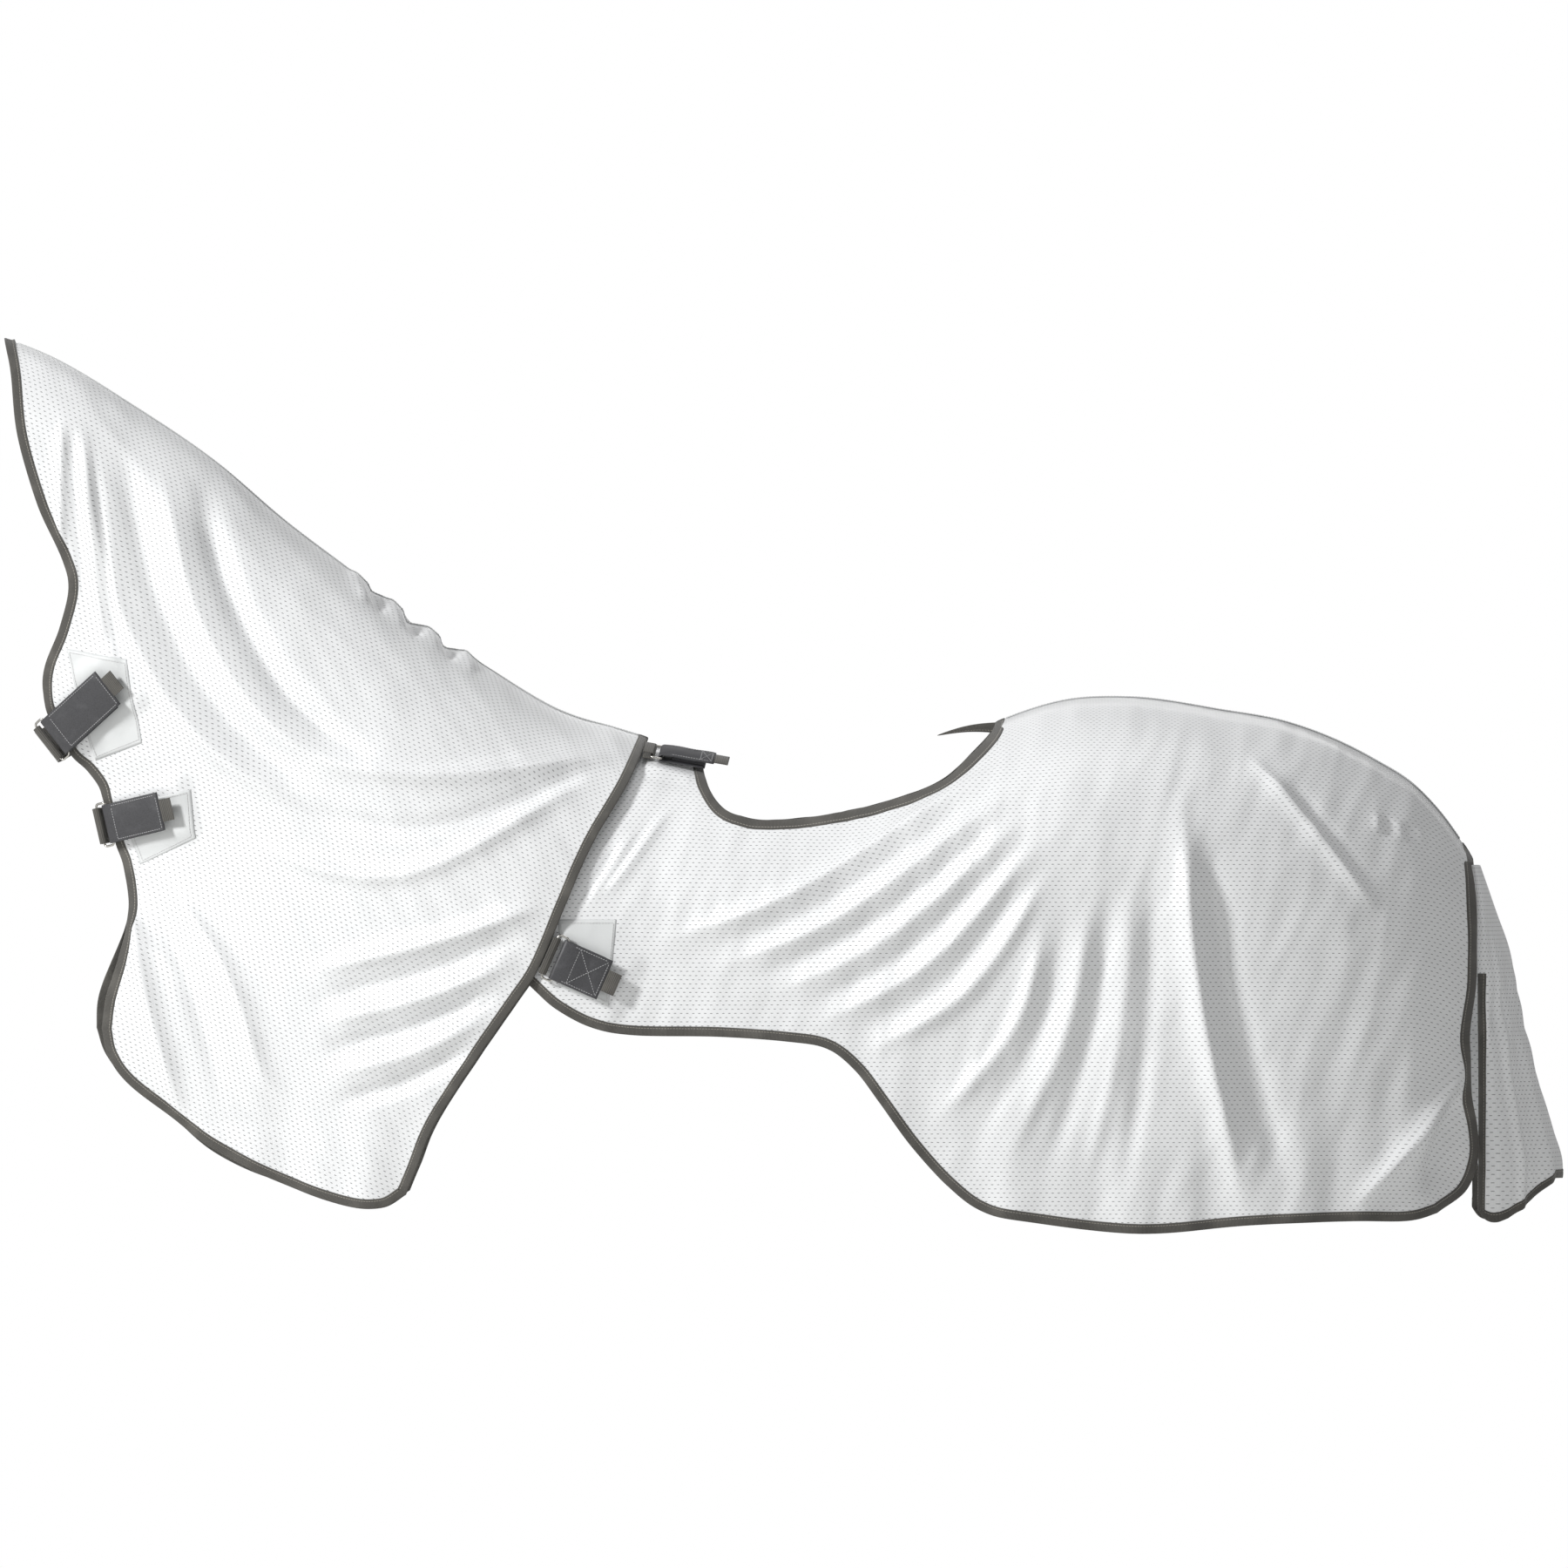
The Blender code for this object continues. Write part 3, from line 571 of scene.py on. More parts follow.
@dataclass(frozen=True)
class Form:
    """The horse's smooth form under one part of the sheet, given by stations from head to tail."""

    stations: tuple[Station, ...]       # x, height of the top line, half width, depth of the widest level
    lift: float = 0.0                   # distance that this part lies outside the horse
    drawn_in: tuple[Spot, ...] = ()     # height and how strongly the front edge is drawn in there
    front: tuple[Spot, ...] = ()        # side-view points of that front edge, from the bottom up

    def column(self, k: int, x: np.ndarray) -> np.ndarray:
        """One column of the stations, on a smooth curve, at given x."""
        rows = np.array(self.stations)
        return smooth_through(rows[:, 0], rows[:, k], np.asarray(x, float))

    def top(self, x: np.ndarray) -> np.ndarray:
        """Height of the top line at given x."""
        return self.column(1, x)

    def half_width(self, x: np.ndarray, z: np.ndarray) -> np.ndarray:
        """Distance of the surface from the centre plane.

        Args:
            x: Side-view positions along the horse.
            z: Their heights.

        Returns:
            The distance at each position.
        """
        x, z = np.asarray(x, float), np.asarray(z, float)
        depth = np.clip((self.top(x) - z) / self.column(3, x), 0, 1)
        y = self.column(2, x) * np.sqrt(1 - (1 - depth) ** 2)
        if self.drawn_in:
            rows, edge = np.array(self.drawn_in), np.array(self.front)
            reach = np.maximum(x - np.interp(z, edge[:, 1], edge[:, 0]), 0) / DRAW_REACH
            y = y * (1 - smooth_through(rows[:, 0], rows[:, 1], z) * np.exp(-reach))
            y = y + self.lift * np.minimum(depth * 3, 1)
        return np.maximum(y, SEAM_CLEAR)

    def normals(self, line: np.ndarray, side: Side) -> np.ndarray:
        """Outward directions of the surface.

        Args:
            line: Side-view points, in any array shape that ends in 2.
            side: The side of the horse.

        Returns:
            Unit vectors, in the same shape but ending in 3.
        """
        x, z, step = line[..., 0], line[..., 1], 0.004
        slope_x = (self.half_width(x + step, z) - self.half_width(x - step, z)) / (2 * step)
        slope_z = (self.half_width(x, z + step) - self.half_width(x, z - step)) / (2 * step)
        out = np.stack([-slope_x, np.full(x.shape, float(side.value)), -slope_z], axis=-1)
        return out / np.linalg.norm(out, axis=-1)[..., None]

    def place(self, line: np.ndarray, side: Side, rise: np.ndarray | float = 0.0) -> np.ndarray:
        """Puts side-view points on the surface, or squarely off it.

        Args:
            line: Side-view points, in any array shape that ends in 2.
            side: The side of the horse.
            rise: How far each point lies off the surface.

        Returns:
            Their places, in the same shape but ending in 3.
        """
        spot = np.stack([line[..., 0], side.value * self.half_width(line[..., 0], line[..., 1]), line[..., 1]], -1)
        moved = spot + np.asarray(rise)[..., None] * self.normals(line, side)
        crossed = moved[..., 1] * side.value < SEAM_CLEAR
        moved[..., 1] = np.where(crossed, side.value * SEAM_CLEAR, moved[..., 1])
        return moved


BODY_STATIONS: tuple[Station, ...] = (
    (-0.26, 0.070, 0.222, 0.36), (-0.10, 0.008, 0.238, 0.31), (0.00, -0.014, 0.245, 0.28),
    (0.10, -0.034, 0.258, 0.25), (0.30, -0.052, 0.280, 0.22), (0.42, -0.015, 0.290, 0.22),
    (0.50, 0.021, 0.296, 0.23), (0.60, 0.052, 0.300, 0.24), (0.69, 0.056, 0.300, 0.25),
    (0.82, 0.038, 0.291, 0.26), (0.92, 0.019, 0.276, 0.28), (1.04, -0.033, 0.240, 0.30),
    (1.10, -0.072, 0.210, 0.30), (1.14, -0.115, 0.176, 0.28), (1.17, -0.157, 0.143, 0.26),
    (1.20, -0.200, 0.110, 0.24),
)
NECK_STATIONS: tuple[Station, ...] = (
    (-0.93, 0.573, 0.070, 0.12), (-0.86, 0.545, 0.082, 0.14), (-0.74, 0.474, 0.104, 0.20),
    (-0.62, 0.392, 0.130, 0.26), (-0.52, 0.307, 0.156, 0.30), (-0.43, 0.239, 0.180, 0.33),
    (-0.33, 0.163, 0.207, 0.35), (-0.23, 0.097, 0.229, 0.36), (-0.13, 0.038, 0.244, 0.34),
    (0.00, 0.002, 0.253, 0.30), (0.05, -0.010, 0.255, 0.29),
)
DRAWN_IN: tuple[Spot, ...] = (
    (-0.75, 0.20), (-0.50, 0.25), (-0.34, 0.40), (-0.22, 0.68), (-0.13, 0.80), (-0.04, 0.80),
    (0.03, 0.78), (0.10, 0.62), (0.20, 0.30), (0.35, 0.05), (0.60, 0.00),
)
HEAD_EDGE: tuple[Spot, ...] = (
    (-0.925, 0.571), (-0.914, 0.519), (-0.904, 0.431), (-0.875, 0.331), (-0.841, 0.256),
    (-0.831, 0.212), (-0.844, 0.156), (-0.866, 0.100), (-0.868, 0.062), (-0.856, 0.025),
    (-0.828, -0.022), (-0.785, -0.078), (-0.762, -0.150), (-0.747, -0.220), (-0.745, -0.262),
    (-0.757, -0.310), (-0.777, -0.375), (-0.783, -0.419),
)
NECK_HEM: tuple[Spot, ...] = (
    (-0.783, -0.419), (-0.774, -0.458), (-0.745, -0.498), (-0.675, -0.552), (-0.619, -0.592),
    (-0.531, -0.637), (-0.436, -0.670), (-0.381, -0.674), (-0.348, -0.655),
)
NECK_REAR: tuple[Spot, ...] = (
    (0.000, 0.000), (-0.031, -0.069), (-0.081, -0.156), (-0.119, -0.244), (-0.156, -0.331),
    (-0.194, -0.388), (-0.250, -0.469), (-0.306, -0.556), (-0.331, -0.615), (-0.348, -0.655),
)
BODY_FRONT: tuple[Spot, ...] = (
    (-0.060, -0.003), (-0.095, -0.075), (-0.145, -0.165), (-0.190, -0.250), (-0.215, -0.300),
)
BODY_HEM: tuple[Spot, ...] = (
    (-0.215, -0.300), (-0.198, -0.328), (-0.163, -0.362), (-0.131, -0.390), (-0.081, -0.416),
    (-0.020, -0.427), (0.100, -0.429), (0.200, -0.436), (0.255, -0.446), (0.294, -0.476),
    (0.330, -0.523), (0.375, -0.585), (0.425, -0.640), (0.475, -0.677), (0.540, -0.692),
    (0.700, -0.709), (0.860, -0.697), (1.000, -0.692), (1.080, -0.692), (1.125, -0.681),
)
RUMP_EDGE: tuple[Spot, ...] = (
    (1.181, -0.178), (1.183, -0.215), (1.185, -0.290), (1.184, -0.356), (1.174, -0.431),
    (1.176, -0.506), (1.186, -0.560), (1.187, -0.606), (1.168, -0.652), (1.125, -0.681),
)
CUT_OUT: tuple[Spot, ...] = (
    (0.076, -0.030), (0.083, -0.068), (0.106, -0.103), (0.144, -0.118), (0.194, -0.120),
    (0.256, -0.113), (0.319, -0.100), (0.381, -0.081), (0.431, -0.056), (0.466, -0.022),
    (0.489, 0.003), (0.497, 0.018),
)
# Tail flap: height, x of its front edge, x of its back, half width.
TAIL_STATIONS: tuple[Station, ...] = (
    (-0.178, 1.1820, 1.1900, 0.052), (-0.244, 1.1880, 1.2130, 0.088), (-0.319, 1.1900, 1.2370, 0.104),
    (-0.406, 1.1905, 1.2520, 0.110), (-0.469, 1.1910, 1.2690, 0.114), (-0.569, 1.1910, 1.3000, 0.120),
    (-0.612, 1.1910, 1.3130, 0.123), (-0.660, 1.1930, 1.3050, 0.124), (-0.700, 1.2120, 1.2750, 0.122),
)
TAIL_TOP, TAIL_FOLD, TAIL_END = -0.185, -0.356, -0.700

@dataclass(frozen=True)
class Fan:
    """A family of neighbouring folds, worked out between its first and its last: ridges with valleys between."""

    first: tuple[Spot, ...]
    last: tuple[Spot, ...]
    count: int
    width: float
    height: float               # of its ridges
    dip: float = 0.7            # depth of its valleys, as a share of that

    def folds(self) -> list[Fold]:
        """The family's folds, each a little higher or lower than the next."""
        start, end = np.array(self.first), np.array(self.last)
        made = []
        for k in range(self.count):
            path = start + (end - start) * k / max(self.count - 1, 1)
            height = self.height * (0.8 + 0.2 * math.cos(2.3 * k)) * (1.0 if k % 2 == 0 else -self.dip)
            made.append(Fold(tuple((float(x), float(z)) for x, z in path), self.width, height))
        return made


NECK_FANS = {
    "from the poll": Fan(((-0.82, 0.48), (-0.76, 0.20), (-0.64, 0.00), (-0.44, -0.14)),
                         ((-0.65, 0.38), (-0.59, 0.18), (-0.50, 0.04), (-0.38, -0.04)), 4, 0.018, 0.0060, 1.3),
    "over the neck": Fan(((-0.50, -0.03), (-0.30, -0.06), (-0.02, -0.03)),
                         ((-0.62, -0.14), (-0.35, -0.20), (-0.05, -0.04)), 3, 0.013, 0.0060),
    "point of the shoulder": Fan(((-0.50, -0.34), (-0.32, -0.30), (-0.14, -0.24)),
                                 ((-0.46, -0.52), (-0.36, -0.50), (-0.24, -0.44)), 6, 0.013, 0.0065),
    "from the chest": Fan(((-0.74, -0.20), (-0.72, -0.36), (-0.66, -0.56)),
                          ((-0.70, -0.19), (-0.60, -0.34), (-0.54, -0.52)), 3, 0.014, 0.0055),
    "behind the face": Fan(((-0.84, 0.46), (-0.84, 0.25)), ((-0.80, 0.44), (-0.74, 0.00)), 4, 0.007, 0.0035),
    "gathers at the crest": Fan(((-0.43, 0.24), (-0.40, 0.19)), ((-0.27, 0.13), (-0.25, 0.09)),
                                7, 0.007, 0.0020, 2.0),
}
BODY_FANS = {
    "barrel to loin": Fan(((0.00, -0.30), (0.22, -0.22), (0.52, -0.03)),
                          ((0.30, -0.46), (0.46, -0.36), (0.58, -0.18)), 9, 0.014, 0.0075, 0.55),
    "flank": Fan(((0.40, -0.56), (0.52, -0.42), (0.57, -0.25)),
                 ((0.67, -0.69), (0.71, -0.42), (0.72, -0.17)), 6, 0.015, 0.0070),
    "quarter": Fan(((0.76, -0.07), (0.78, -0.35), (0.85, -0.69)),
                   ((0.79, -0.11), (0.84, -0.42), (0.93, -0.69)), 2, 0.020, 0.0150, 0.6),
    "croup": Fan(((0.85, -0.02), (1.05, -0.26)), ((0.91, -0.06), (1.04, -0.23)), 2, 0.011, 0.0065),
    "dock": Fan(((1.04, -0.11), (1.04, -0.14)), ((1.10, -0.13), (1.11, -0.16)), 5, 0.005, 0.0020, 1.5),
    "rump corner": Fan(((1.17, -0.43), (1.13, -0.53), (1.00, -0.68)),
                       ((1.16, -0.49), (1.13, -0.58), (1.10, -0.66)), 2, 0.014, 0.0110, 0.8),
    "shoulder": Fan(((0.04, -0.09), (-0.04, -0.20), (-0.08, -0.24)),
                    ((-0.04, -0.15), (-0.07, -0.20), (-0.10, -0.25)), 4, 0.008, 0.0035),
}
NECK_FOLDS, BODY_FOLDS = (tuple(fold for fan in fans.values() for fold in fan.folds())
                          for fans in (NECK_FANS, BODY_FANS))

BODY_SHAPE = Form(BODY_STATIONS)
NECK_SHAPE = Form(NECK_STATIONS, NECK_LIFT, DRAWN_IN,
                  tuple(map(tuple, spline(HEAD_EDGE + NECK_HEM[1:4], 81)[::-1])))


# ------------------------------------------------------------------------------------------ mesh tools


def deselect_all() -> None:
    """Leaves nothing selected, so that an operator acts only on the piece at hand."""
    if bpy.context.mode != "OBJECT":
        bpy.ops.object.mode_set(mode="OBJECT")
    bpy.ops.object.select_all(action="DESELECT")


def pick(obj: bpy.types.Object) -> None:
    """Selects one object alone and makes it active."""
    deselect_all()
    obj.select_set(True)
    bpy.context.view_layer.objects.active = obj


def piece(name: str, points: np.ndarray, faces: list[tuple[int, ...]], uvs: np.ndarray,
          finish: bpy.types.Material) -> bpy.types.Object:
    """Makes a smooth mesh object with a UV map in metres.

    Args:
        name: The object's name.
        points: Its vertices.
        faces: Vertex numbers of each face, turned outwards.
        uvs: One UV for each vertex.
        finish: Its material.

    Returns:
        The new object.
    """
    data = bpy.data.meshes.new(name)
    data.from_pydata(points.tolist(), [], faces)
    data.materials.append(finish)
    layer = data.uv_layers.new(name="weave")
    loops = np.empty(len(data.loops), np.int32)
    data.loops.foreach_get("vertex_index", loops)
    layer.data.foreach_set("uv", uvs[loops].astype(np.float32).ravel())
    data.shade_smooth()
    data.update()
    obj = bpy.data.objects.new(name, data)
    bpy.context.scene.collection.objects.link(obj)
    return obj


def apply_all(obj: bpy.types.Object) -> None:
    """Applies an object's modifiers in order."""
    pick(obj)
    for modifier in list(obj.modifiers):
        bpy.ops.object.modifier_apply(modifier=modifier.name)


def thicken(obj: bpy.types.Object, thickness: float, offset: float) -> None:
    """Gives an open surface its thickness.

    Args:
        obj: The surface.
        thickness: Its thickness.
        offset: 1 to grow outwards, -1 inwards, 0 both ways.
    """
    shell = obj.modifiers.new("thickness", "SOLIDIFY")
    shell.thickness, shell.offset = thickness, offset
    apply_all(obj)


def cloth_sheet(name: str, grid: np.ndarray, uvs: np.ndarray, side: Side, finish: bpy.types.Material,
                thickness: float = CLOTH, offset: float = -1.0) -> bpy.types.Object:
    """Makes a sheet from rows of points, facing away from the horse.

    Args:
        name: The object's name.
        grid: Points, as rows by columns by 3.
        uvs: UVs, as rows by columns by 2.
        side: The side of the horse; the rows run from head to tail, from the top down.
        finish: Its material.
        thickness: The sheet's thickness.
        offset: Which way it grows.

    Returns:
        The finished sheet.
    """
    rows, columns = grid.shape[:2]
    faces = []
    for j in range(rows - 1):
        for i in range(columns - 1):
            a = j * columns + i
            quad = (a, a + columns, a + columns + 1, a + 1)
            faces.append(quad if side is Side.LEFT else quad[::-1])
    obj = piece(name, grid.reshape(-1, 3), faces, uvs.reshape(-1, 2), finish)
    thicken(obj, thickness, offset)
    return obj


def tube(name: str, rings: np.ndarray, uvs: np.ndarray, finish: bpy.types.Material,
         flip: bool = False) -> bpy.types.Object:
    """Makes a closed bar from rings of points, capped at both ends.

    Args:
        name: The object's name.
        rings: Points, as rings by points round each by 3.
        uvs: UVs, as rings by points by 2.
        finish: Its material.
        flip: True where the rings run so that the faces would point inwards.

    Returns:
        The finished bar.
    """
    count, around = rings.shape[:2]
    faces: list[tuple[int, ...]] = []
    for j in range(count - 1):
        for i in range(around):
            k = (i + 1) % around
            faces.append((j * around + i, j * around + k, (j + 1) * around + k, (j + 1) * around + i))
    faces.append(tuple(range(around))[::-1])
    faces.append(tuple(range((count - 1) * around, count * around)))
    if flip:
        faces = [face[::-1] for face in faces]
    obj = piece(name, rings.reshape(-1, 3), faces, uvs.reshape(-1, 2), finish)
    made = bmesh.new()
    made.from_mesh(obj.data)
    volume = made.calc_volume(signed=True)
    if volume < 0:
        bmesh.ops.reverse_faces(made, faces=made.faces)
        made.to_mesh(obj.data)
    made.free()
    return obj


# Across a folded tape: distance from its outer edge to its inner one, and its height off the cloth.
TAPE_SECTION = np.array([
    (0.00, 0.00), (0.03, 0.72), (0.12, 1.02), (0.36, 1.14), (0.64, 1.10), (0.74, 0.92), (0.80, 0.90), (0.88, 1.08),
    (0.96, 0.98), (1.00, 0.50), (1.00, -0.50), (0.96, -0.95), (0.64, -1.05), (0.36, -1.05), (0.12, -1.00),
    (0.03, -0.72),
])


def folded_tape(name: str, outer: np.ndarray, middle: np.ndarray, inner: np.ndarray, normals: np.ndarray,
                finish: bpy.types.Material) -> bpy.types.Object:
    """Makes an edge binding: tape folded over the cloth from an outer edge to an inner one.

    Args:
        name: The object's name.
        outer: Points of the sheet's free edge.
        middle: Points of the cloth under the middle of the tape, one for each outer point.
        inner: Points of the tape's inner edge, one for each outer point.
        normals: Directions off the cloth, one for each.
        finish: Its material.

    Returns:
        The finished tape.
    """
    t, high = TAPE_SECTION[:, 0], TAPE_SECTION[:, 1] * TAPE_HALF
    shares = np.stack([(1 - t) * (1 - 2 * t), 4 * t * (1 - t), t * (2 * t - 1)])
    rings = np.einsum("kt,knc->ntc", shares, np.stack([outer, middle, inner]))
    rings = rings + normals[:, None] * high[None, :, None]
    run = np.concatenate([[0], np.cumsum(np.linalg.norm(np.diff(outer, axis=0), axis=1))])
    uvs = np.stack(np.broadcast_arrays(run[:, None], TAPE_WIDTH * t[None, :]), axis=-1)
    return tube(name, rings, uvs, finish)


# --------------------------------------------------------------------------------------------- closures


@dataclass(frozen=True)
class StrapSize:
    """Sizes and sewing of one closure."""

    length: float
    width: float
    keeper_tail: tuple[Spot, ...]
    keeper_end: Spot
    boxed: bool = False                 # a sewn box with a cross on the flap
    crossed: bool = False               # a sewn line across the flap
    tab: float = 0.020

LOOP = 0.0045                           # radius of a strap's centre line round a ring's bar
RING_REACH = 0.0160                     # distance between a ring's two bars
WIRE = 0.0016                           # radius of a ring's wire
HINGE = (0.0065, 0.0065)                # where a flap starts to bend off its hook tape
FLAP = 0.0030                           # thickness of a flap
STRAP = 0.0020                          # thickness of a strap's under layer
TUCKED_TAIL = ((-0.012, -0.062), (-0.026, -0.050), (-0.033, -0.034), (-0.033, -0.018), (-0.025, -0.008))
TUCKED_END = (-0.0205, 0.0040)
SIZES = {
    "throat": StrapSize(0.118, 0.060, TUCKED_TAIL, TUCKED_END),
    "chest": StrapSize(0.096, 0.056, TUCKED_TAIL, TUCKED_END),
    "shoulder": StrapSize(0.070, 0.060, ((-0.022, -LOOP),), (-0.022, LOOP), boxed=True),
    "withers": StrapSize(0.074, 0.044, ((-0.028, -LOOP),), (-0.028, LOOP), crossed=True),
}


@dataclass
class Closure:
    """A strap that runs through a wire ring and sticks back on itself.

    Its frame has X along the strap, away from the ring, Y across it and Z away from the horse, with its origin
    on the bar that the strap goes round.
    """

    name: str
    size: StrapSize
    finishes: Finishes
    place: Matrix = field(init=False)

    def __post_init__(self) -> None:
        """Finds the closure's frame from the joints of its ring and its flap."""
        joints = {joint["name"]: joint for joint in frame["joints"]}
        tilt, peel = joints[f"{self.name}_ring_tilt"], joints[f"{self.name}_peel"]
        y = Vector(tilt["axis"]).normalized()
        ring, hinge = Vector(tilt["pos_m"]), Vector(peel["pos_m"])
        across = hinge - ring
        across = (across - y * across.dot(y)).normalized()
        lift = across.cross(y)
        angle = math.atan2(HINGE[1], RING_REACH + HINGE[0])
        x = across * math.cos(angle) - lift * math.sin(angle)
        z = across * math.sin(angle) + lift * math.cos(angle)
        origin = ring + x * RING_REACH
        self.place = Matrix.Translation(origin) @ Matrix((x, y, z)).transposed().to_4x4()

    @property
    def flap_body(self) -> str:
        """The body that the flap rides on."""
        return f"{self.name}_flap_body"

    def at(self, x: float, y: float, z: float) -> Vector:
        """A point of the closure's frame, in the sheet's frame."""
        return self.place @ Vector((x, y, z))

    def axis(self, k: int) -> np.ndarray:
        """One axis of the closure's frame, 0 for X to 2 for Z, in the sheet's frame."""
        return np.array(self.place.col[k][:3])

    def settle(self, obj: bpy.types.Object) -> bpy.types.Object:
        """Puts a piece modelled at the origin in its place, through its mesh."""
        obj.data.transform(self.place)
        obj.data.update()
        return obj

    def ribbon(self, name: str, path: Line, width: float, thick: np.ndarray,
               finish: bpy.types.Material) -> bpy.types.Object:
        """Sweeps a flat section with rounded edges along a path.

        Args:
            name: The piece's name.
            path: Points of the frame's X and Z.
            width: The ribbon's width.
            thick: Its thickness at each point.
            finish: Its material.

        Returns:
            The ribbon in its place.
        """
        half = width / 2
        section = np.array([(-1.0, 0.0), (-0.985, 0.36), (-0.95, 0.5), (0.0, 0.5), (0.95, 0.5), (0.985, 0.36),
                            (1.0, 0.0), (0.985, -0.36), (0.95, -0.5), (0.0, -0.5), (-0.95, -0.5), (-0.985, -0.36)])
        ahead = np.gradient(path, axis=0)
        ahead /= np.linalg.norm(ahead, axis=1)[:, None]
        up = np.stack([-ahead[:, 1], ahead[:, 0]], axis=1)
        rings = np.zeros((len(path), len(section), 3))
        rings[..., 0] = path[:, None, 0] + up[:, None, 0] * section[None, :, 1] * thick[:, None]
        rings[..., 1] = section[None, :, 0] * half
        rings[..., 2] = path[:, None, 1] + up[:, None, 1] * section[None, :, 1] * thick[:, None]
        run = np.concatenate([[0], np.cumsum(np.linalg.norm(np.diff(path, axis=0), axis=1))])
        uvs = np.stack(np.broadcast_arrays(run[:, None], section[None, :, 0] * half), axis=-1)
        return self.settle(tube(name, rings, uvs, finish))

    def bend(self, centre: float, start: float, end: float, steps: int = 14) -> list[Spot]:
        """Points round a bar, from one angle to another, in degrees."""
        turns = np.radians(np.linspace(start, end, steps + 1))
        return [(centre + LOOP * math.cos(a), LOOP * math.sin(a)) for a in turns]

    def leather(self) -> bpy.types.Object:
        """The strap: its under layer, its turn round the ring and its flap, in one length."""
        size, middle = self.size, HINGE[1] - FLAP / 2
        low = [(x, -LOOP) for x in np.linspace(size.length - 0.012, 0.002, 16)]
        flat = np.linspace(HINGE[0] + 0.003, size.length, 26)
        sag = 0.0003 * np.sin(np.linspace(0, 3 * math.pi, len(flat)))
        high = [(x, middle + s) for x, s in zip(flat, sag)]
        path = np.array([*low, *self.bend(0.0, -90, -270), (HINGE[0], middle - 0.0001), *high])
        grow = ease((np.arange(len(path)) - len(low) - 13) / 4)
        thick = STRAP + (FLAP - STRAP) * grow
        thick[-2:] *= (0.93, 0.62)
        thick[:1] *= 0.8
        strap = self.ribbon(f"{self.name}_strap_leather", path, size.width, thick, self.finishes.leather)
        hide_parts(f"{self.name}_strap", f"{self.name}_flap")
        self.at(0, 0, -0.0010)[:]
        self.at(0, 0, 0.0048)[:]
        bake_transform(strap)
        return strap

    def keeper(self) -> bpy.types.Object:
        """The loop of webbing that holds the ring to the cloth."""
        size = self.size
        rough = np.array([*size.keeper_tail, *self.bend(-RING_REACH, -90, 90), size.keeper_end])
        path = evenly(rough, 44)
        thick = np.full(len(path), 0.0016)
        made = self.ribbon(f"{self.name}_keeper_webbing", path, size.width - 0.004, thick, self.finishes.webbing)
        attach(made, "neck_cover")
        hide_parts(f"{self.name}_keeper")
        return made

    def ring(self) -> bpy.types.Object:
        """The rectangular ring of bent wire, butt welded on its hidden bar."""
        deep, wide = RING_REACH, self.size.width + 0.006
        deselect_all()
        bpy.ops.mesh.primitive_plane_add(size=1, location=(-deep / 2, 0, 0))
        obj = bpy.context.object
        obj.name = f"{self.name}_wire_ring"
        obj.scale = (deep, wide, 1)
        bpy.ops.object.transform_apply(location=True, rotation=True, scale=True)
        bpy.ops.object.mode_set(mode="EDIT")
        bpy.ops.mesh.select_all(action="SELECT")
        bpy.ops.mesh.delete(type="ONLY_FACE")
        bpy.ops.mesh.select_all(action="SELECT")
        bpy.ops.mesh.bevel(offset=0.0042, offset_type="OFFSET", segments=7, affect="VERTICES")
        bpy.ops.object.mode_set(mode="OBJECT")
        bpy.ops.object.convert(target="CURVE")
        obj = bpy.context.object
        obj.data.bevel_depth, obj.data.bevel_resolution = WIRE, 4
        bpy.ops.object.convert(target="MESH")
        obj = bpy.context.object
        obj.data.materials.clear()
        obj.data.materials.append(self.finishes.steel)
        obj.data.shade_smooth()
        self.settle(obj)
        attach(obj, f"{self.name}_ring_body")
        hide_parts(f"{self.name}_ring")
        return obj

    def pull_tab(self) -> bpy.types.Object:
        """The ribbed webbing tab at the flap's end: a bar whose top and bottom ribs are raised."""
        size, ribs = self.size, 9
        deselect_all()
        start, end = size.length - 0.0010, size.length + size.tab
        bpy.ops.mesh.primitive_cube_add(size=1, location=((start + end) / 2, 0, HINGE[1] - FLAP + 0.0013))
        obj = bpy.context.object
        obj.name = f"{self.name}_pull_webbing"
        obj.scale = (end - start, 0.032, 0.0014)
        bpy.ops.object.transform_apply(location=True, rotation=True, scale=True)
        bpy.ops.object.mode_set(mode="EDIT")
        made = bmesh.from_edit_mesh(obj.data)
        for edge in made.edges:
            edge.select = abs(edge.verts[0].co.x - edge.verts[1].co.x) > 0.5 * (end - start)
        bmesh.update_edit_mesh(obj.data)
        bpy.ops.mesh.subdivide(number_cuts=4 * ribs - 1)
        made = bmesh.from_edit_mesh(obj.data)
        pitch = (end - start) / ribs
        for vert in made.verts:
            wave = 0.5 - 0.5 * math.cos(2 * math.pi * (vert.co.x - start) / pitch)
            vert.co.z += math.copysign(0.0004 * wave, vert.co.z - (HINGE[1] - FLAP + 0.0013))
        layer = made.loops.layers.uv.verify()
        for face in made.faces:
            for loop in face.loops:
                loop[layer].uv = (loop.vert.co.x, loop.vert.co.y)
        bmesh.update_edit_mesh(obj.data)
        bpy.ops.object.mode_set(mode="OBJECT")
        obj.data.uv_layers[0].name = "weave"
        obj.data.materials.append(self.finishes.webbing)
        soft = obj.modifiers.new("edges", "BEVEL")
        soft.width, soft.segments, soft.angle_limit = 0.0003, 2, math.radians(60)
        apply_all(obj)
        bpy.ops.object.shade_smooth_by_angle(angle=math.radians(40))
        self.settle(obj)
        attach(obj, self.flap_body)
        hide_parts(f"{self.name}_pull_tab")
        return obj

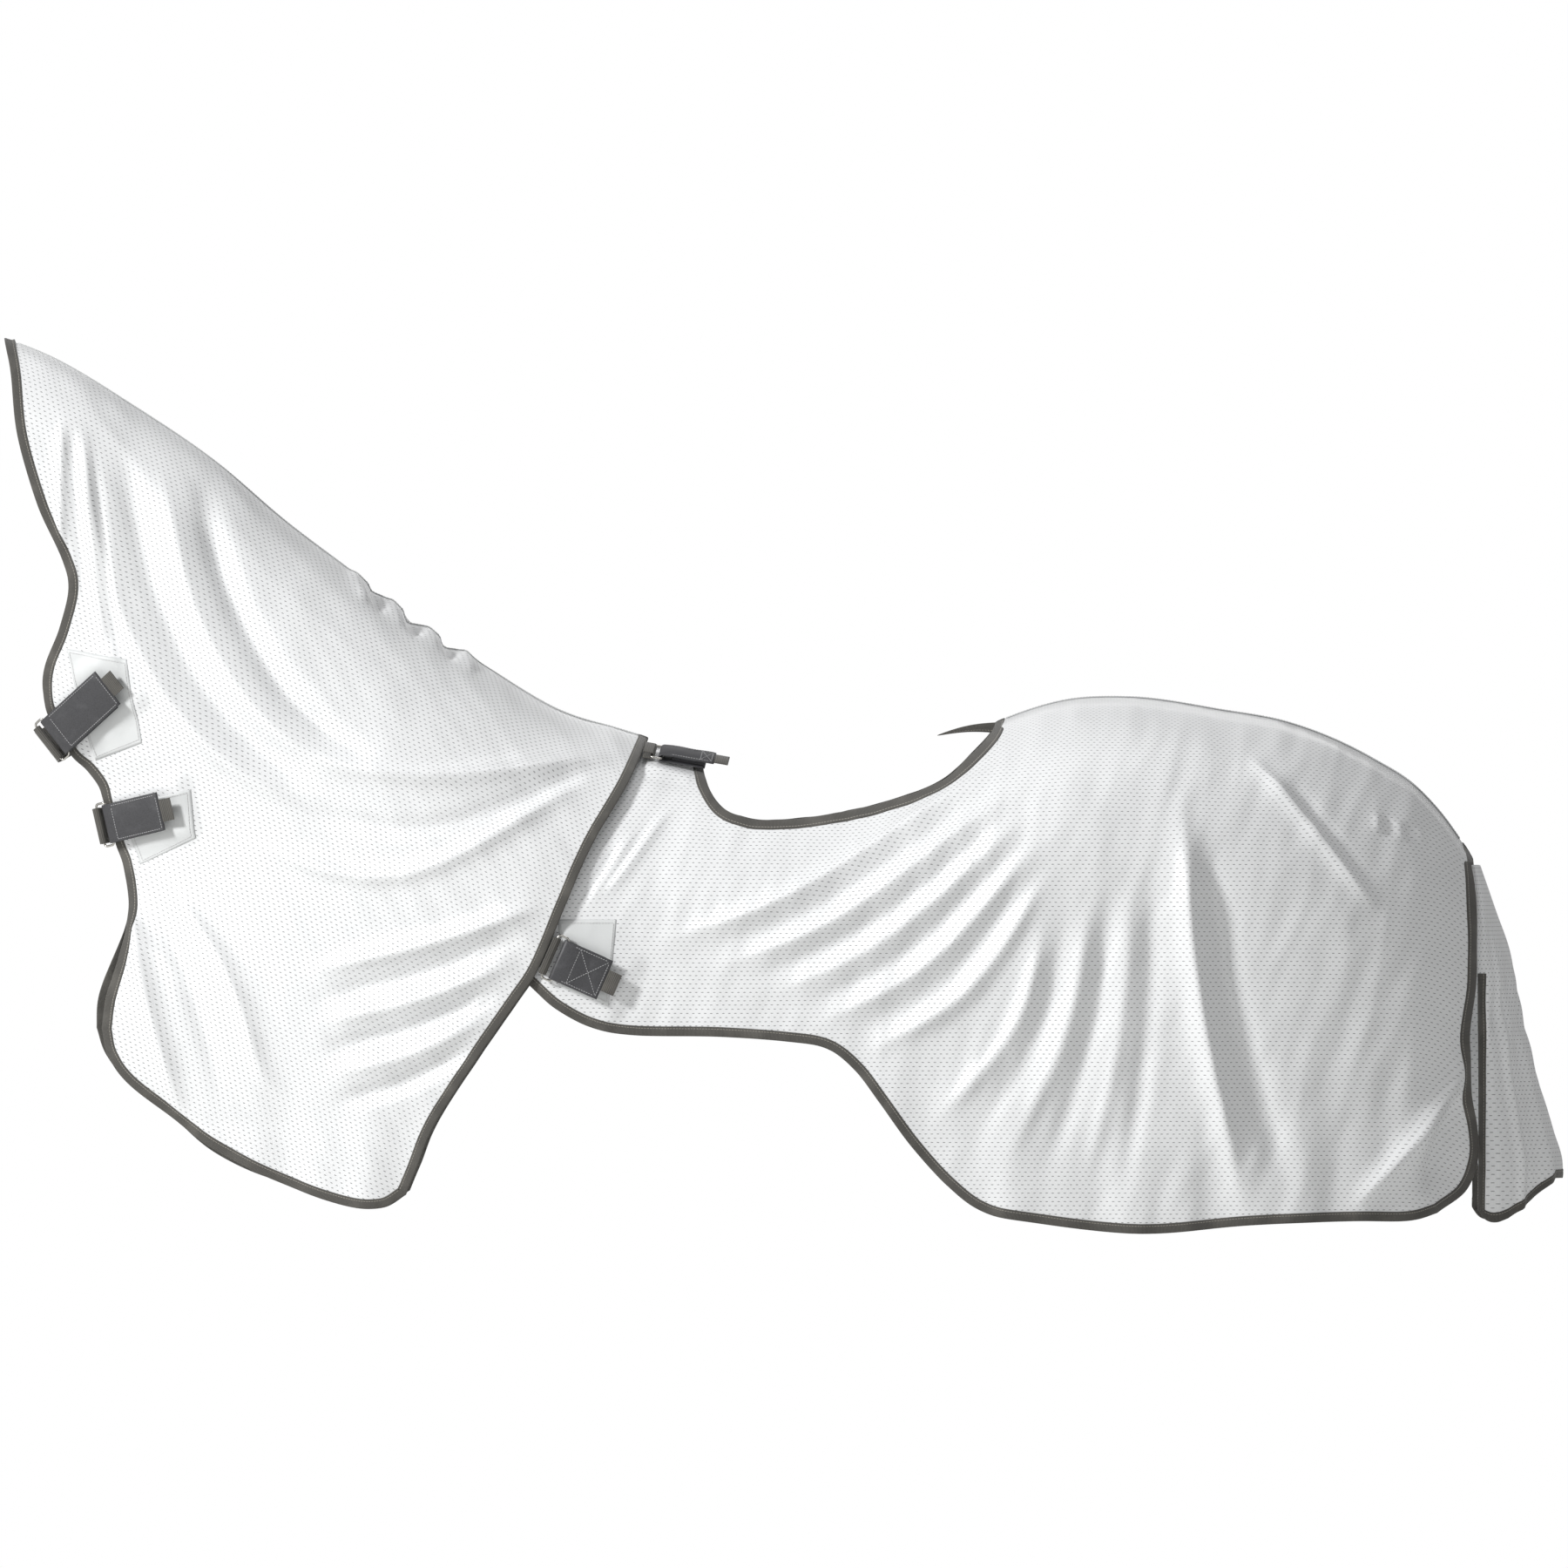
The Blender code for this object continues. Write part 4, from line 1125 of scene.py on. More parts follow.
    def seams(self) -> list[tuple[Spot, Spot]]:
        """The flap's lines of stitching, as pairs of ends in the frame's X and Y."""
        edge = 0.0036
        low, high, half = 0.0135, self.size.length - edge, self.size.width / 2 - edge
        lines = [((low, -half), (high, -half)), ((low, half), (high, half)), ((high, -half), (high, half))]
        if self.size.boxed:
            near = high - 2 * half * 0.86
            lines += [((near, -half), (near, half)), ((near, -half), (high, half)),
                      ((near, half), (high, -half))]
        elif self.size.crossed:
            lines.append(((high - 0.016, -half), (high - 0.016, half)))
            lines.append(((high - 0.016, -half), (high, half)))
            lines.append(((high - 0.016, half), (high, -half)))
        else:
            lines.append(((low, -half), (low, half)))
        return lines

    def stitching(self) -> bpy.types.Object:
        """The flap's stitches: short grains of thread, one modelled and copied along every seam."""
        pitch, long, thick = 0.0038, 0.00290, 0.00056
        top = HINGE[1] + 0.00012
        deselect_all()
        bpy.ops.mesh.primitive_cylinder_add(vertices=6, radius=thick, depth=long, rotation=(0, math.pi / 2, 0))
        grain = bpy.context.object
        bpy.ops.object.transform_apply(location=True, rotation=True, scale=True)
        bpy.ops.object.mode_set(mode="EDIT")
        bpy.ops.mesh.select_all(action="SELECT")
        bpy.ops.mesh.subdivide(number_cuts=1)
        bpy.ops.object.mode_set(mode="OBJECT")
        shape = np.array([vert.co[:] for vert in grain.data.vertices])
        taper = 1 - 0.55 * (np.abs(shape[:, 0]) / (long / 2)) ** 2
        shape[:, 1:] *= taper[:, None]
        faces = [tuple(face.vertices) for face in grain.data.polygons]
        bpy.data.objects.remove(grain, do_unlink=True)
        points: list[np.ndarray] = []
        for (x0, y0), (x1, y1) in self.seams():
            run = math.hypot(x1 - x0, y1 - y0)
            turn = math.atan2(y1 - y0, x1 - x0)
            spin = np.array(((math.cos(turn), math.sin(turn), 0), (-math.sin(turn), math.cos(turn), 0),
                             (0, 0, 1)))
            for k in range(int(run / pitch)):
                s = (k + 0.5) * pitch / run
                points.append(shape @ spin + np.array((x0 + (x1 - x0) * s, y0 + (y1 - y0) * s, top)))
        joined = [tuple(i + n * len(shape) for i in face) for n in range(len(points)) for face in faces]
        spots = np.concatenate(points)
        obj = self.settle(piece(f"{self.name}_stitching", spots, joined, spots[:, :2], self.finishes.thread))
        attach(obj, self.flap_body)
        return obj

    def build(self) -> list[bpy.types.Object]:
        """Makes the closure's pieces and dresses its hook tape."""
        made = [self.leather(), self.keeper(), self.ring(), self.pull_tab(), self.stitching()]
        dress_node(f"{self.name}_hook_tape", self.finishes.hook)
        return made

    def press(self, spots: np.ndarray, normals: np.ndarray) -> tuple[np.ndarray, np.ndarray]:
        """How the cloth under the strap lies up against it.

        Args:
            spots: Points of the cloth's form.
            normals: Directions off it.

        Returns:
            How much each point takes part, from 0 to 1, and how far off the form it then lies.
        """
        off = spots - np.array(self.place.translation)
        x, y, z = (off @ self.axis(k) for k in range(3))
        outside = np.maximum(np.maximum(-0.004 - x, x - self.size.length - self.size.tab), 0)
        beside = np.maximum(np.abs(y) - self.size.width / 2 - 0.004, 0)
        share = ease(1 - np.hypot(outside, beside) / 0.030) * (np.abs(z) < 0.05)
        facing = np.maximum(normals @ self.axis(2), 0.35)
        play = 0.080 * np.maximum(spots[..., 0], 0)     # room for the strap to sink as the neck lifts
        rise = (-LOOP - STRAP / 2 - 0.0030 - play - z) / facing
        return share, np.clip(rise, -0.004, 0.009)


def dress_node(node: str, finish: bpy.types.Material) -> None:
    """Gives a node of the frame a detailed material."""
    data = frame["nodes"][node].data
    data.materials.clear()
    data.materials.append(finish)


# ---------------------------------------------------------------------------------------------- panels


@dataclass
class Panel:
    """One half of the body sheet or of the neck cover, with its folds.

    The cloth runs to the middle of its edge bindings, and both halves share their rise at the centre seam.
    """

    shape: Form
    side: Side
    folds: tuple[Fold, ...]
    closures: list[Closure]
    finishes: Finishes
    depth: float = 1.6                  # how pronounced the folds are
    least: float = -0.014               # deepest that a valley may go
    hem_wave: float = 0.0035            # how far the hem waves in and out
    hem_level: float = -0.40            # height under which it does
    grain: float = 0.0                  # how far the cloth's grain is turned
    flow: Spot = (0.35, 0.94)           # direction that the small creases run in
    # Where an edge hangs otherwise: x, z, reach, and how far in x and z.
    sway: tuple[tuple[float, ...], ...] = ()

    def swayed(self, line: Line) -> Line:
        """Moves an edge where this side hangs otherwise than the other."""
        for x, z, reach, dx, dz in self.sway:
            share = np.exp(-np.sum((line - (x, z)) ** 2, axis=1) / reach**2)
            line = line + share[:, None] * np.array((dx, dz))
        return line

    def folded(self, x: np.ndarray, z: np.ndarray, side: Side) -> np.ndarray:
        """The rise of the hanging folds on one side: the right side's lie a little otherwise."""
        total = np.zeros(x.shape)
        for k, fold in enumerate(self.folds):
            if side is Side.LEFT:
                total += fold.rise(x, z)
            else:
                total += (0.80 + 0.3 * math.sin(2.1 * k)) * fold.rise(x, z, 0.014 * math.sin(1.7 * k + 0.4))
        return total

    def creases(self, x: np.ndarray, z: np.ndarray, y: np.ndarray, side: Side) -> np.ndarray:
        """Small uneven creases and the waving hem."""
        seed = 3.1 if side is Side.LEFT else 9.7
        along, across = x * self.flow[0] + z * self.flow[1], x * self.flow[1] - z * self.flow[0]
        fine = np.array([
            0.0030 * (0.35 - abs(noise.noise(Vector((4.5 * a, 19 * b + 1.5 * a, seed)))))
            + 0.0011 * noise.noise(Vector((16 * a, 43 * b, seed + 5)))
            for a, b in zip(along.ravel(), across.ravel())
        ]).reshape(x.shape)
        low = ease((self.hem_level - z) / 0.25)
        wave = np.sin(2 * math.pi * x / 0.19 + seed) + 0.5 * np.sin(2 * math.pi * x / 0.083 + 2 * seed)
        return fine * ease(y / 0.03) + self.hem_wave * low * wave

    def rise(self, line: np.ndarray) -> np.ndarray:
        """How far the cloth lies off the form.

        Args:
            line: Side-view points, in any array shape that ends in 2.

        Returns:
            The rise at each point.
        """
        x, z = line[..., 0], line[..., 1]
        y = self.shape.half_width(x, z)
        own = self.folded(x, z, self.side)
        if self.side is Side.RIGHT:
            share = ease(y / 0.06)
            own = share * own + (1 - share) * self.folded(x, z, Side.LEFT)
        total = self.bounded(x, z, own * self.depth + self.creases(x, z, y, self.side))
        spots, normals = self.shape.place(line, self.side), self.shape.normals(line, self.side)
        for closure in self.closures:
            share, level = closure.press(spots, normals)
            total = (1 - share) * total + share * level
        return total

    def bounded(self, x: np.ndarray, z: np.ndarray, total: np.ndarray) -> np.ndarray:
        """Holds the rise inside what the neighbouring cloth leaves free."""
        return np.maximum(total, self.least)

    def laid(self, line: np.ndarray, extra: float = 0.0) -> np.ndarray:
        """Puts side-view points on the folded cloth, or a little outside it."""
        return self.shape.place(line, self.side, self.rise(line) + extra)

    def hemmed(self, edge: Line, distance: float, first: int, last: int) -> Line:
        """Moves an edge in over the cloth; an end that meets the top line slides along it.

        Args:
            edge: The edge's side-view points.
            distance: How far it moves.
            first: 1 where the first end slides to +X, -1 to -X, 0 where it is free.
            last: The same for the last end.

        Returns:
            The moved edge.
        """
        line = inset(edge, distance)
        for end, way in ((0, first), (-1, last)):
            if way:
                x = edge[end][0] + way * distance
                line[end] = (x, float(self.shape.top(np.array(x))))
        return line

    def top_line(self, start: Line, end: Line, count: int) -> Line:
        """Points along the top line, from one given end to the other."""
        x = np.linspace(start[0], end[0], count)
        line = np.stack([x, self.shape.top(x)], axis=1)
        line[0], line[-1] = start, end
        return line

    def sheet_between(self, name: str, top: Line, bottom: Line, left: Line, right: Line) -> bpy.types.Object:
        """Makes the cloth between four side-view curves, its rows crowding towards the top.

        Args:
            name: The piece's name.
            top: Upper curve, from head to tail.
            bottom: Lower curve, with as many points.
            left: Curve at the head end, from the top down.
            right: Curve at the tail end, with as many points.

        Returns:
            The cloth.
        """
        u = np.linspace(0, 1, len(top))[None, :, None]
        k = (1 - np.cos(0.5 * math.pi * np.linspace(0, 1, len(left))))[:, None, None]
        across = (1 - u) * left[:, None] + u * right[:, None]
        down = (1 - k) * top[None] + k * bottom[None]
        corners = ((1 - k) * ((1 - u) * top[0] + u * top[-1]) + k * ((1 - u) * bottom[0] + u * bottom[-1]))
        line = across + down - corners
        flat = self.shape.place(line, self.side)
        climb = np.linalg.norm(np.diff(flat[::-1, :, 1:], axis=0), axis=2)
        v = (line[-1, :, 1] + np.concatenate([np.zeros((1, climb.shape[1])), np.cumsum(climb, axis=0)]))[::-1]
        cos, sin = math.cos(self.grain), math.sin(self.grain)
        turn = np.array(((cos, sin), (-sin, cos)))
        uvs = np.stack([line[..., 0], v], axis=-1) @ turn
        return cloth_sheet(name, self.laid(line), uvs, self.side, self.finishes.cloth)

    def tape(self, name: str, edge: Line, first: int, last: int) -> bpy.types.Object:
        """Makes the binding along an edge of the cloth."""
        middle, inner = (self.laid(self.hemmed(edge, share * TAPE_WIDTH, first, last))
                         for share in (0.5, 1.0))
        return folded_tape(name, self.laid(edge), middle, inner, self.shape.normals(edge, self.side),
                           self.finishes.binding)

    def patch(self, name: str, corners: tuple[Spot, ...]) -> bpy.types.Object:
        """Makes a reinforcement patch sewn flat on the cloth, between four side-view corners."""
        a, b, c, d = (np.array(corner) for corner in corners)
        u, v = np.linspace(0, 1, 30)[None, :, None], np.linspace(0, 1, 30)[:, None, None]
        line = (1 - u) * ((1 - v) * a + v * d) + u * ((1 - v) * b + v * c)
        return cloth_sheet(name, self.laid(line, 0.0002), line, self.side, self.finishes.plain, 0.0003, 1.0)

    def border(self, name: str, corners: tuple[Spot, ...], inside: float = 0.005) -> bpy.types.Object:
        """Makes the line of thread that sews a patch down, a little inside its edge."""
        middle = np.mean(np.array(corners), axis=0)
        ring = [middle + (np.array(q) - middle) * (1 - inside / np.linalg.norm(np.array(q) - middle) * 1.3)
                for q in (*corners, corners[0])]
        line = evenly(np.array(ring), 160)
        return thread_line(name, self.laid(line, 0.0006), self.shape.normals(line, self.side),
                           self.finishes.white_thread)


def thread_line(name: str, line: np.ndarray, normals: np.ndarray, finish: bpy.types.Material,
                radius: float = 0.00045) -> bpy.types.Object:
    """Makes one row of stitches as a thread that dips into the cloth between them.

    Args:
        name: The piece's name.
        line: Points along the row.
        normals: Directions off the cloth.
        finish: The thread's material.
        radius: The thread's radius.

    Returns:
        The row of stitches.
    """
    run = np.concatenate([[0], np.cumsum(np.linalg.norm(np.diff(line, axis=0), axis=1))])
    count = int(run[-1] / 0.0011)
    at = np.linspace(0, run[-1], count)
    spots = np.stack([np.interp(at, run, line[:, k]) for k in range(3)], axis=1)
    out = np.stack([np.interp(at, run, normals[:, k]) for k in range(3)], axis=1)
    out /= np.linalg.norm(out, axis=1)[:, None]
    ahead = np.gradient(spots, axis=0)
    ahead /= np.linalg.norm(ahead, axis=1)[:, None]
    beside = np.cross(out, ahead)
    dip = 0.5 - 0.5 * np.cos(2 * math.pi * at / 0.0044)
    spots = spots + out * (radius * (0.6 - 1.8 * (1 - dip) ** 3))[:, None]
    turns = np.radians(np.arange(0, 360, 72))
    rings = (spots[:, None] + radius * (np.cos(turns)[None, :, None] * beside[:, None]
                                        + np.sin(turns)[None, :, None] * out[:, None]))
    uvs = np.stack(np.broadcast_arrays(at[:, None], turns[None, :]), axis=-1)
    return tube(name, rings, uvs, finish)


@dataclass
class BodyHalf(Panel):
    """One side of the body sheet: cloth, edge binding, saddle binding and shoulder patch."""

    columns: tuple[int, int, int] = (30, 100, 160)      # cells along the withers, the cut-out and the croup
    rows: int = 148
    patch_corners: tuple[Spot, ...] = ((-0.128, -0.262), (-0.045, -0.262), (-0.056, -0.385), (-0.122, -0.358))

    def bounded(self, x: np.ndarray, z: np.ndarray, total: np.ndarray) -> np.ndarray:
        """Holds the folds low where the neck cover lies over them."""
        rear = np.array(NECK_REAR)[::-1]
        clear = ease((x - np.interp(z, rear[:, 1], rear[:, 0])) / 0.03)
        return np.clip(total, self.least, 0.002 + 0.03 * clear)

    def point(self) -> bpy.types.Object:
        """Makes the right saddle binding's rear end, folded double and sticking out forward in a point."""
        t = np.linspace(0, 1, 40)[:, None]
        root, tip = np.array((0.502, 0.005, 0.012)), np.array((0.414, 0.018, 0.001))
        arch, half_width, half_tip = (np.array((0.0, 0.0, high)) for high in (0.004, 0.0076, 0.0004))
        spine = root + (tip - root) * t + arch * np.sin(math.pi * t)
        across = half_width * (1 - t) ** 0.8 + half_tip
        return folded_tape("point", spine + across, spine, spine - across, np.tile((0.0, 1.0, 0.0), (40, 1)),
                           self.finishes.binding)

    def build(self) -> list[bpy.types.Object]:
        """Makes this side's pieces.

        Returns:
            The pieces, the cloth first.
        """
        word, under = self.side.word, 0.5 * TAPE_WIDTH
        front, rump = spline(BODY_FRONT, self.rows + 1), spline(RUMP_EDGE, self.rows + 1)
        lower, cut = spline(BODY_HEM, sum(self.columns) + 1), spline(CUT_OUT, self.columns[1] + 1)
        edge = self.swayed(np.concatenate([front, lower[1:], rump[::-1][1:]]))
        inner = self.hemmed(edge, under, 1, -1)
        end = self.rows + sum(self.columns)
        front_in, lower_in, rump_in = inner[:self.rows + 1], inner[self.rows:end + 1], inner[end:][::-1]
        cut_in = self.hemmed(cut[::-1], under, 1, -1)[::-1]
        withers = self.top_line(front_in[0], cut_in[0], self.columns[0] + 1)
        croup = self.top_line(cut_in[-1], rump_in[0], self.columns[2] + 1)
        top = np.concatenate([withers, cut_in[1:], croup[1:]])
        cloth = self.sheet_between(f"body_cloth_{word}", top, lower_in, front_in, rump_in)
        tape = self.tape(f"body_edge_tape_{word}", evenly(edge, 640), 1, -1)
        saddle = self.tape(f"saddle_edge_tape_{word}", evenly(cut[::-1], 150), 1, -1)
        if self.side is Side.RIGHT:
            point = self.point()
            pick(saddle)
            point.select_set(True)
            bpy.ops.object.join()
        patch = self.patch(f"shoulder_patch_cloth_{word}", self.patch_corners)
        thread = self.border(f"shoulder_patch_thread_{word}", self.patch_corners)
        for made in (cloth, tape, saddle, patch, thread):
            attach(made, "body_sheet")
        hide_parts(f"body_panel_{word}")
        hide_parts(f"body_binding_{word}")
        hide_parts(f"saddle_binding_{word}")
        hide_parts(f"shoulder_patch_{word}")
        return [cloth, tape, saddle, patch, thread]


@dataclass
class NeckHalf(Panel):
    """One side of the neck cover: cloth and edge binding, and on the left the throat and chest patches."""

    rows: int = 190
    columns: int = 190
    patches: dict[str, tuple[Spot, ...]] = field(default_factory=dict)

    def bounded(self, x: np.ndarray, z: np.ndarray, total: np.ndarray) -> np.ndarray:
        """Keeps the valleys shallow where the body sheet lies underneath, and the rear edge close to it."""
        rear = np.array(NECK_REAR)[::-1]
        close = 0.0042 * ease(1 - (np.interp(z, rear[:, 1], rear[:, 0]) - x) / 0.07)
        return np.maximum(total - close, -0.005 - 0.018 * ease((-0.24 - x) / 0.06))

    def build(self) -> list[bpy.types.Object]:
        """Makes this side's pieces.

        Returns:
            The pieces, the cloth first.
        """
        word = self.side.word
        head, hem, rear = (spline(line, count + 1) for line, count in (
            (HEAD_EDGE, self.rows), (NECK_HEM, self.columns), (NECK_REAR, self.rows)))
        free = self.swayed(np.concatenate([head, hem[1:], rear[::-1][1:]]))
        inner = self.hemmed(free, 0.5 * TAPE_WIDTH, 1, -1)
        end = self.rows + self.columns
        head_in, hem_in, rear_in = inner[:self.rows + 1], inner[self.rows:end + 1], inner[end:][::-1]
        top = self.top_line(head_in[0], rear_in[0], self.columns + 1)
        cloth = self.sheet_between(f"neck_cloth_{word}", top, hem_in, head_in, rear_in)
        tape = self.tape(f"neck_edge_tape_{word}", free[np.r_[0:len(free) - 1, len(free) - 1]], 1, -1)
        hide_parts(f"neck_panel_{word}")
        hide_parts(f"neck_binding_{word}")
        made = [cloth, tape]
        for name, corners in self.patches.items():
            patch = self.patch(f"{name}_patch_cloth", corners)
            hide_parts(f"{name}_patch")
            made += [patch, self.border(f"{name}_patch_thread", corners)]
        for part in made:
            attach(part, "neck_cover")
        return made


@dataclass
class TopSeam:
    """A seam on the centre line: a flat ribbon of plain cloth, sewn with two rows of stitches."""

    name: str
    node: str
    body: str
    panel: Panel
    start: float
    end: float
    half: float = 0.0055

    def build(self) -> list[bpy.types.Object]:
        """Makes the ribbon and its stitches.

        Returns:
            The two pieces.
        """
        count = int((self.end - self.start) / 0.004) + 2
        x = np.linspace(self.start, self.end, count)
        line = np.stack([x, self.panel.shape.top(x) - 1e-5], axis=1)
        rise = self.panel.rise(line)
        centre = np.stack([x, np.zeros(count), self.panel.shape.top(x)], axis=1)
        ahead = np.gradient(centre, axis=0)
        ahead /= np.linalg.norm(ahead, axis=1)[:, None]
        up = np.stack([-ahead[:, 2], np.zeros(count), ahead[:, 0]], axis=1)
        centre = centre + up * (rise + 0.0004)[:, None]
        ys = np.array([-1.0, -0.93, -0.5, 0.0, 0.5, 0.93, 1.0, 0.93, 0.0, -0.93]) * self.half
        zs = np.array([0.0, 0.4, 0.55, 0.8, 0.55, 0.4, 0.0, -0.6, -0.5, -0.6]) * MM
        rings = centre[:, None] + up[:, None] * (zs - np.abs(ys) * 0.04)[None, :, None]
        rings[..., 1] = ys[None, :]
        uvs = np.stack(np.broadcast_arrays(x[:, None], ys[None, :]), axis=-1)
        ribbon = tube(self.name, rings, uvs, self.panel.finishes.plain)
        made = [ribbon]
        for word, y in (("left", -0.0040), ("right", 0.0040)):
            row = centre + up * 0.0003
            row[:, 1] = y
            made.append(thread_line(f"{self.name}_thread_{word}", row, up, self.panel.finishes.white_thread))
        for part in made:
            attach(part, self.body)
        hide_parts(self.node)
        return made


@dataclass
class TailFlap:
    """The tail flap: a yoke sewn to both sides of the rump, and the loose flap that hangs from it."""

    finishes: Finishes
    rows: int = 120
    columns: int = 110
    hem_rise: float = 0.066             # how much higher the hem hangs at the back than at the sides
    tuck: float = 0.024                 # how far the right side reaches under the rump's edge
    # Half a cross-section, from the front edge round to the back: how far back, and how far out.
    section: tuple[Spot, ...] = (
        (0.0, 0.97), (0.10, 1.02), (0.24, 1.04), (0.36, 0.99), (0.46, 0.90), (0.62, 0.76), (0.80, 0.54),
        (0.94, 0.27), (1.0, 0.0),
    )
    corner_lift: float = 0.022          # how much the hem's front corners are rounded up
    corner_start: float = 0.86          # place round the flap where that begins
    near_tuck: float = 0.004            # the left side's own small tuck

    def station(self, k: int, z: np.ndarray) -> np.ndarray:
        """One column of the tail's stations at given heights."""
        table = np.array(TAIL_STATIONS)
        return smooth_through(-table[:, 0], table[:, k], -z)

    def level(self, s: np.ndarray, v: np.ndarray, start: float = TAIL_TOP) -> np.ndarray:
        """Height of a point of the flap.

        Args:
            s: Place round the flap, from -1 at its left front edge to 1 at its right one.
            v: Place down it, from 0 at the top to 1 at the hem.
            start: Height at which v is 0.

        Returns:
            Its height.
        """
        corner = np.clip((np.abs(s) - self.corner_start) / (1 - self.corner_start), 0, 1) ** 2.5
        hem = TAIL_END + self.hem_rise * ease((1 - np.abs(s)) / 0.75) + self.corner_lift * corner
        return start + (hem - start) * v

    def spots(self, s: np.ndarray, v: np.ndarray, start: float = TAIL_TOP) -> np.ndarray:
        """Points of the flap's smooth surface, at places round it and down it."""
        z = self.level(s, v, start)
        front, back, half = (self.station(k, np.maximum(z, -0.64)) for k in (1, 2, 3))
        shape = np.array(self.section)
        run = np.concatenate([[0], np.cumsum(np.hypot(np.diff(shape[:, 0]), np.diff(shape[:, 1]) * 1.6))])
        at = (1 - np.abs(s)) * run[-1]
        round_off = 1 - 0.5 * ease((TAIL_TOP - 0.09 - z) / -0.09)
        deep = np.interp(at, run, shape[:, 0]) ** round_off
        wide = np.interp(at, run, shape[:, 1])
        far_tuck = self.tuck * (1 - 0.75 * ease((-0.52 - z) / 0.12))
        tucked = np.where(s > 0, far_tuck, self.near_tuck) * ease((np.abs(s) - 0.62) / 0.38)
        return np.stack([front - tucked + (back - front) * deep, np.sign(s) * half * wide, z], axis=-1)

    def folds(self, s: np.ndarray, z: np.ndarray) -> np.ndarray:
        """Lift of the flap's hanging folds: two pressed creases by the sides and soft flutes at the back."""
        low = ease((-0.22 - z) / 0.22)
        crease = np.exp(-((np.abs(s) - 0.70) / 0.030) ** 2) * 0.0060
        flute = 0.0042 * np.sin(9.5 * s + 2.2 * z + 0.6) + 0.0020 * np.sin(21 * s - 6 * z)
        strain = 0.0030 * np.sin(60 * (z + 0.25 * np.abs(s)) + 2 * s) * np.exp(-((z + 0.40) / 0.09) ** 2)
        return low * (crease + flute * ease((1 - np.abs(s)) / 0.3)) + strain * ease((1 - np.abs(s)) / 0.2)

    def laid(self, s: np.ndarray, v: np.ndarray, start: float = TAIL_TOP) -> tuple[np.ndarray, np.ndarray]:
        """Points of the folded flap, and the directions off it."""
        step = 0.004
        across = (self.spots(np.clip(s + step, -1, 1), v, start)
                  - self.spots(np.clip(s - step, -1, 1), v, start))
        down = self.spots(s, v + step, start) - self.spots(s, v - step, start)
        out = np.cross(down, across)
        out /= np.linalg.norm(out, axis=-1)[..., None]
        out *= np.where(out[..., :1] * 0.4 + out[..., 1:2] * np.sign(s)[..., None] < 0, -1.0, 1.0)
        spot = self.spots(s, v, start)
        return spot + out * self.folds(s, spot[..., 2])[..., None], out

    def build(self) -> list[bpy.types.Object]:
        """Makes the cloth, its hem tape and its two side tapes; the side tapes run down from a little above where the
        loose flap begins.

        Returns:
            The pieces, the cloth first.
        """
        s = np.linspace(-1, 1, self.columns + 1)[None, :].repeat(self.rows + 1, axis=0)
        v = np.linspace(0, 0.988, self.rows + 1)[:, None].repeat(self.columns + 1, axis=1)
        grid, _ = self.laid(s, v)
        run = np.concatenate([[0], np.cumsum(np.linalg.norm(np.diff(grid[60], axis=0), axis=1))])
        uvs = np.stack(np.broadcast_arrays(run[None, :], grid[..., 2]), axis=-1)
        cloth = cloth_sheet("tail_cloth", grid, uvs, Side.LEFT, self.finishes.cloth, CLOTH, 0.0)
        cross = np.linspace(-1, 1, 150)
        outer, out = self.laid(cross, np.ones(150))
        middle, inner = (self.laid(cross, np.full(150, 1 - share * TAPE_WIDTH / 0.5))[0]
                         for share in (0.5, 1.0))
        hem = folded_tape("tail_hem_tape", outer, middle, inner, out, self.finishes.binding)
        made = [cloth, hem]
        for side in Side:
            sign, start = float(side.value), TAIL_FOLD + 0.016
            v = np.linspace(0, 0.985, 110)
            outer, out = self.laid(np.full(110, sign), v, start)
            guide, _ = self.laid(np.full(110, sign * 0.9), v, start)
            reach = 0.1 * TAPE_WIDTH / np.linalg.norm(guide - outer, axis=1)
            middle, inner = (self.laid(sign * (1 - share * reach), v, start)[0] for share in (0.5, 1.0))
            made.append(folded_tape(f"tail_side_tape_{side.word}", outer, middle, inner, out,
                                    self.finishes.binding))
        for part in made:
            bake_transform(part)
        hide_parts("tail_yoke", "tail_flap")
        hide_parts("tail_hem_binding")
        for part, side in zip(made[2:], Side):
            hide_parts(f"tail_binding_{side.word}")
        return made


# ----------------------------------------------------------------------------------------------- stage


@dataclass(frozen=True)
class Lamp:
    """A soft studio lamp: a square panel aimed at a point."""

    name: str
    at: tuple[float, float, float]
    size: float
    power: float
    tint: str = "#FFFFFF"
    aim: tuple[float, float, float] = (0.1, 0.0, -0.1)

    def build(self) -> bpy.types.Object:
        """Adds the lamp."""
        data = bpy.data.lights.new(self.name, "AREA")
        data.shape, data.size, data.energy = "SQUARE", self.size, self.power
        data.color = linear(self.tint)[:3]
        lamp = bpy.data.objects.new(self.name, data)
        lamp.location = self.at
        lamp.rotation_euler = (Vector(self.aim) - Vector(self.at)).to_track_quat("-Z", "Y").to_euler()
        bpy.context.scene.collection.objects.link(lamp)
        return lamp


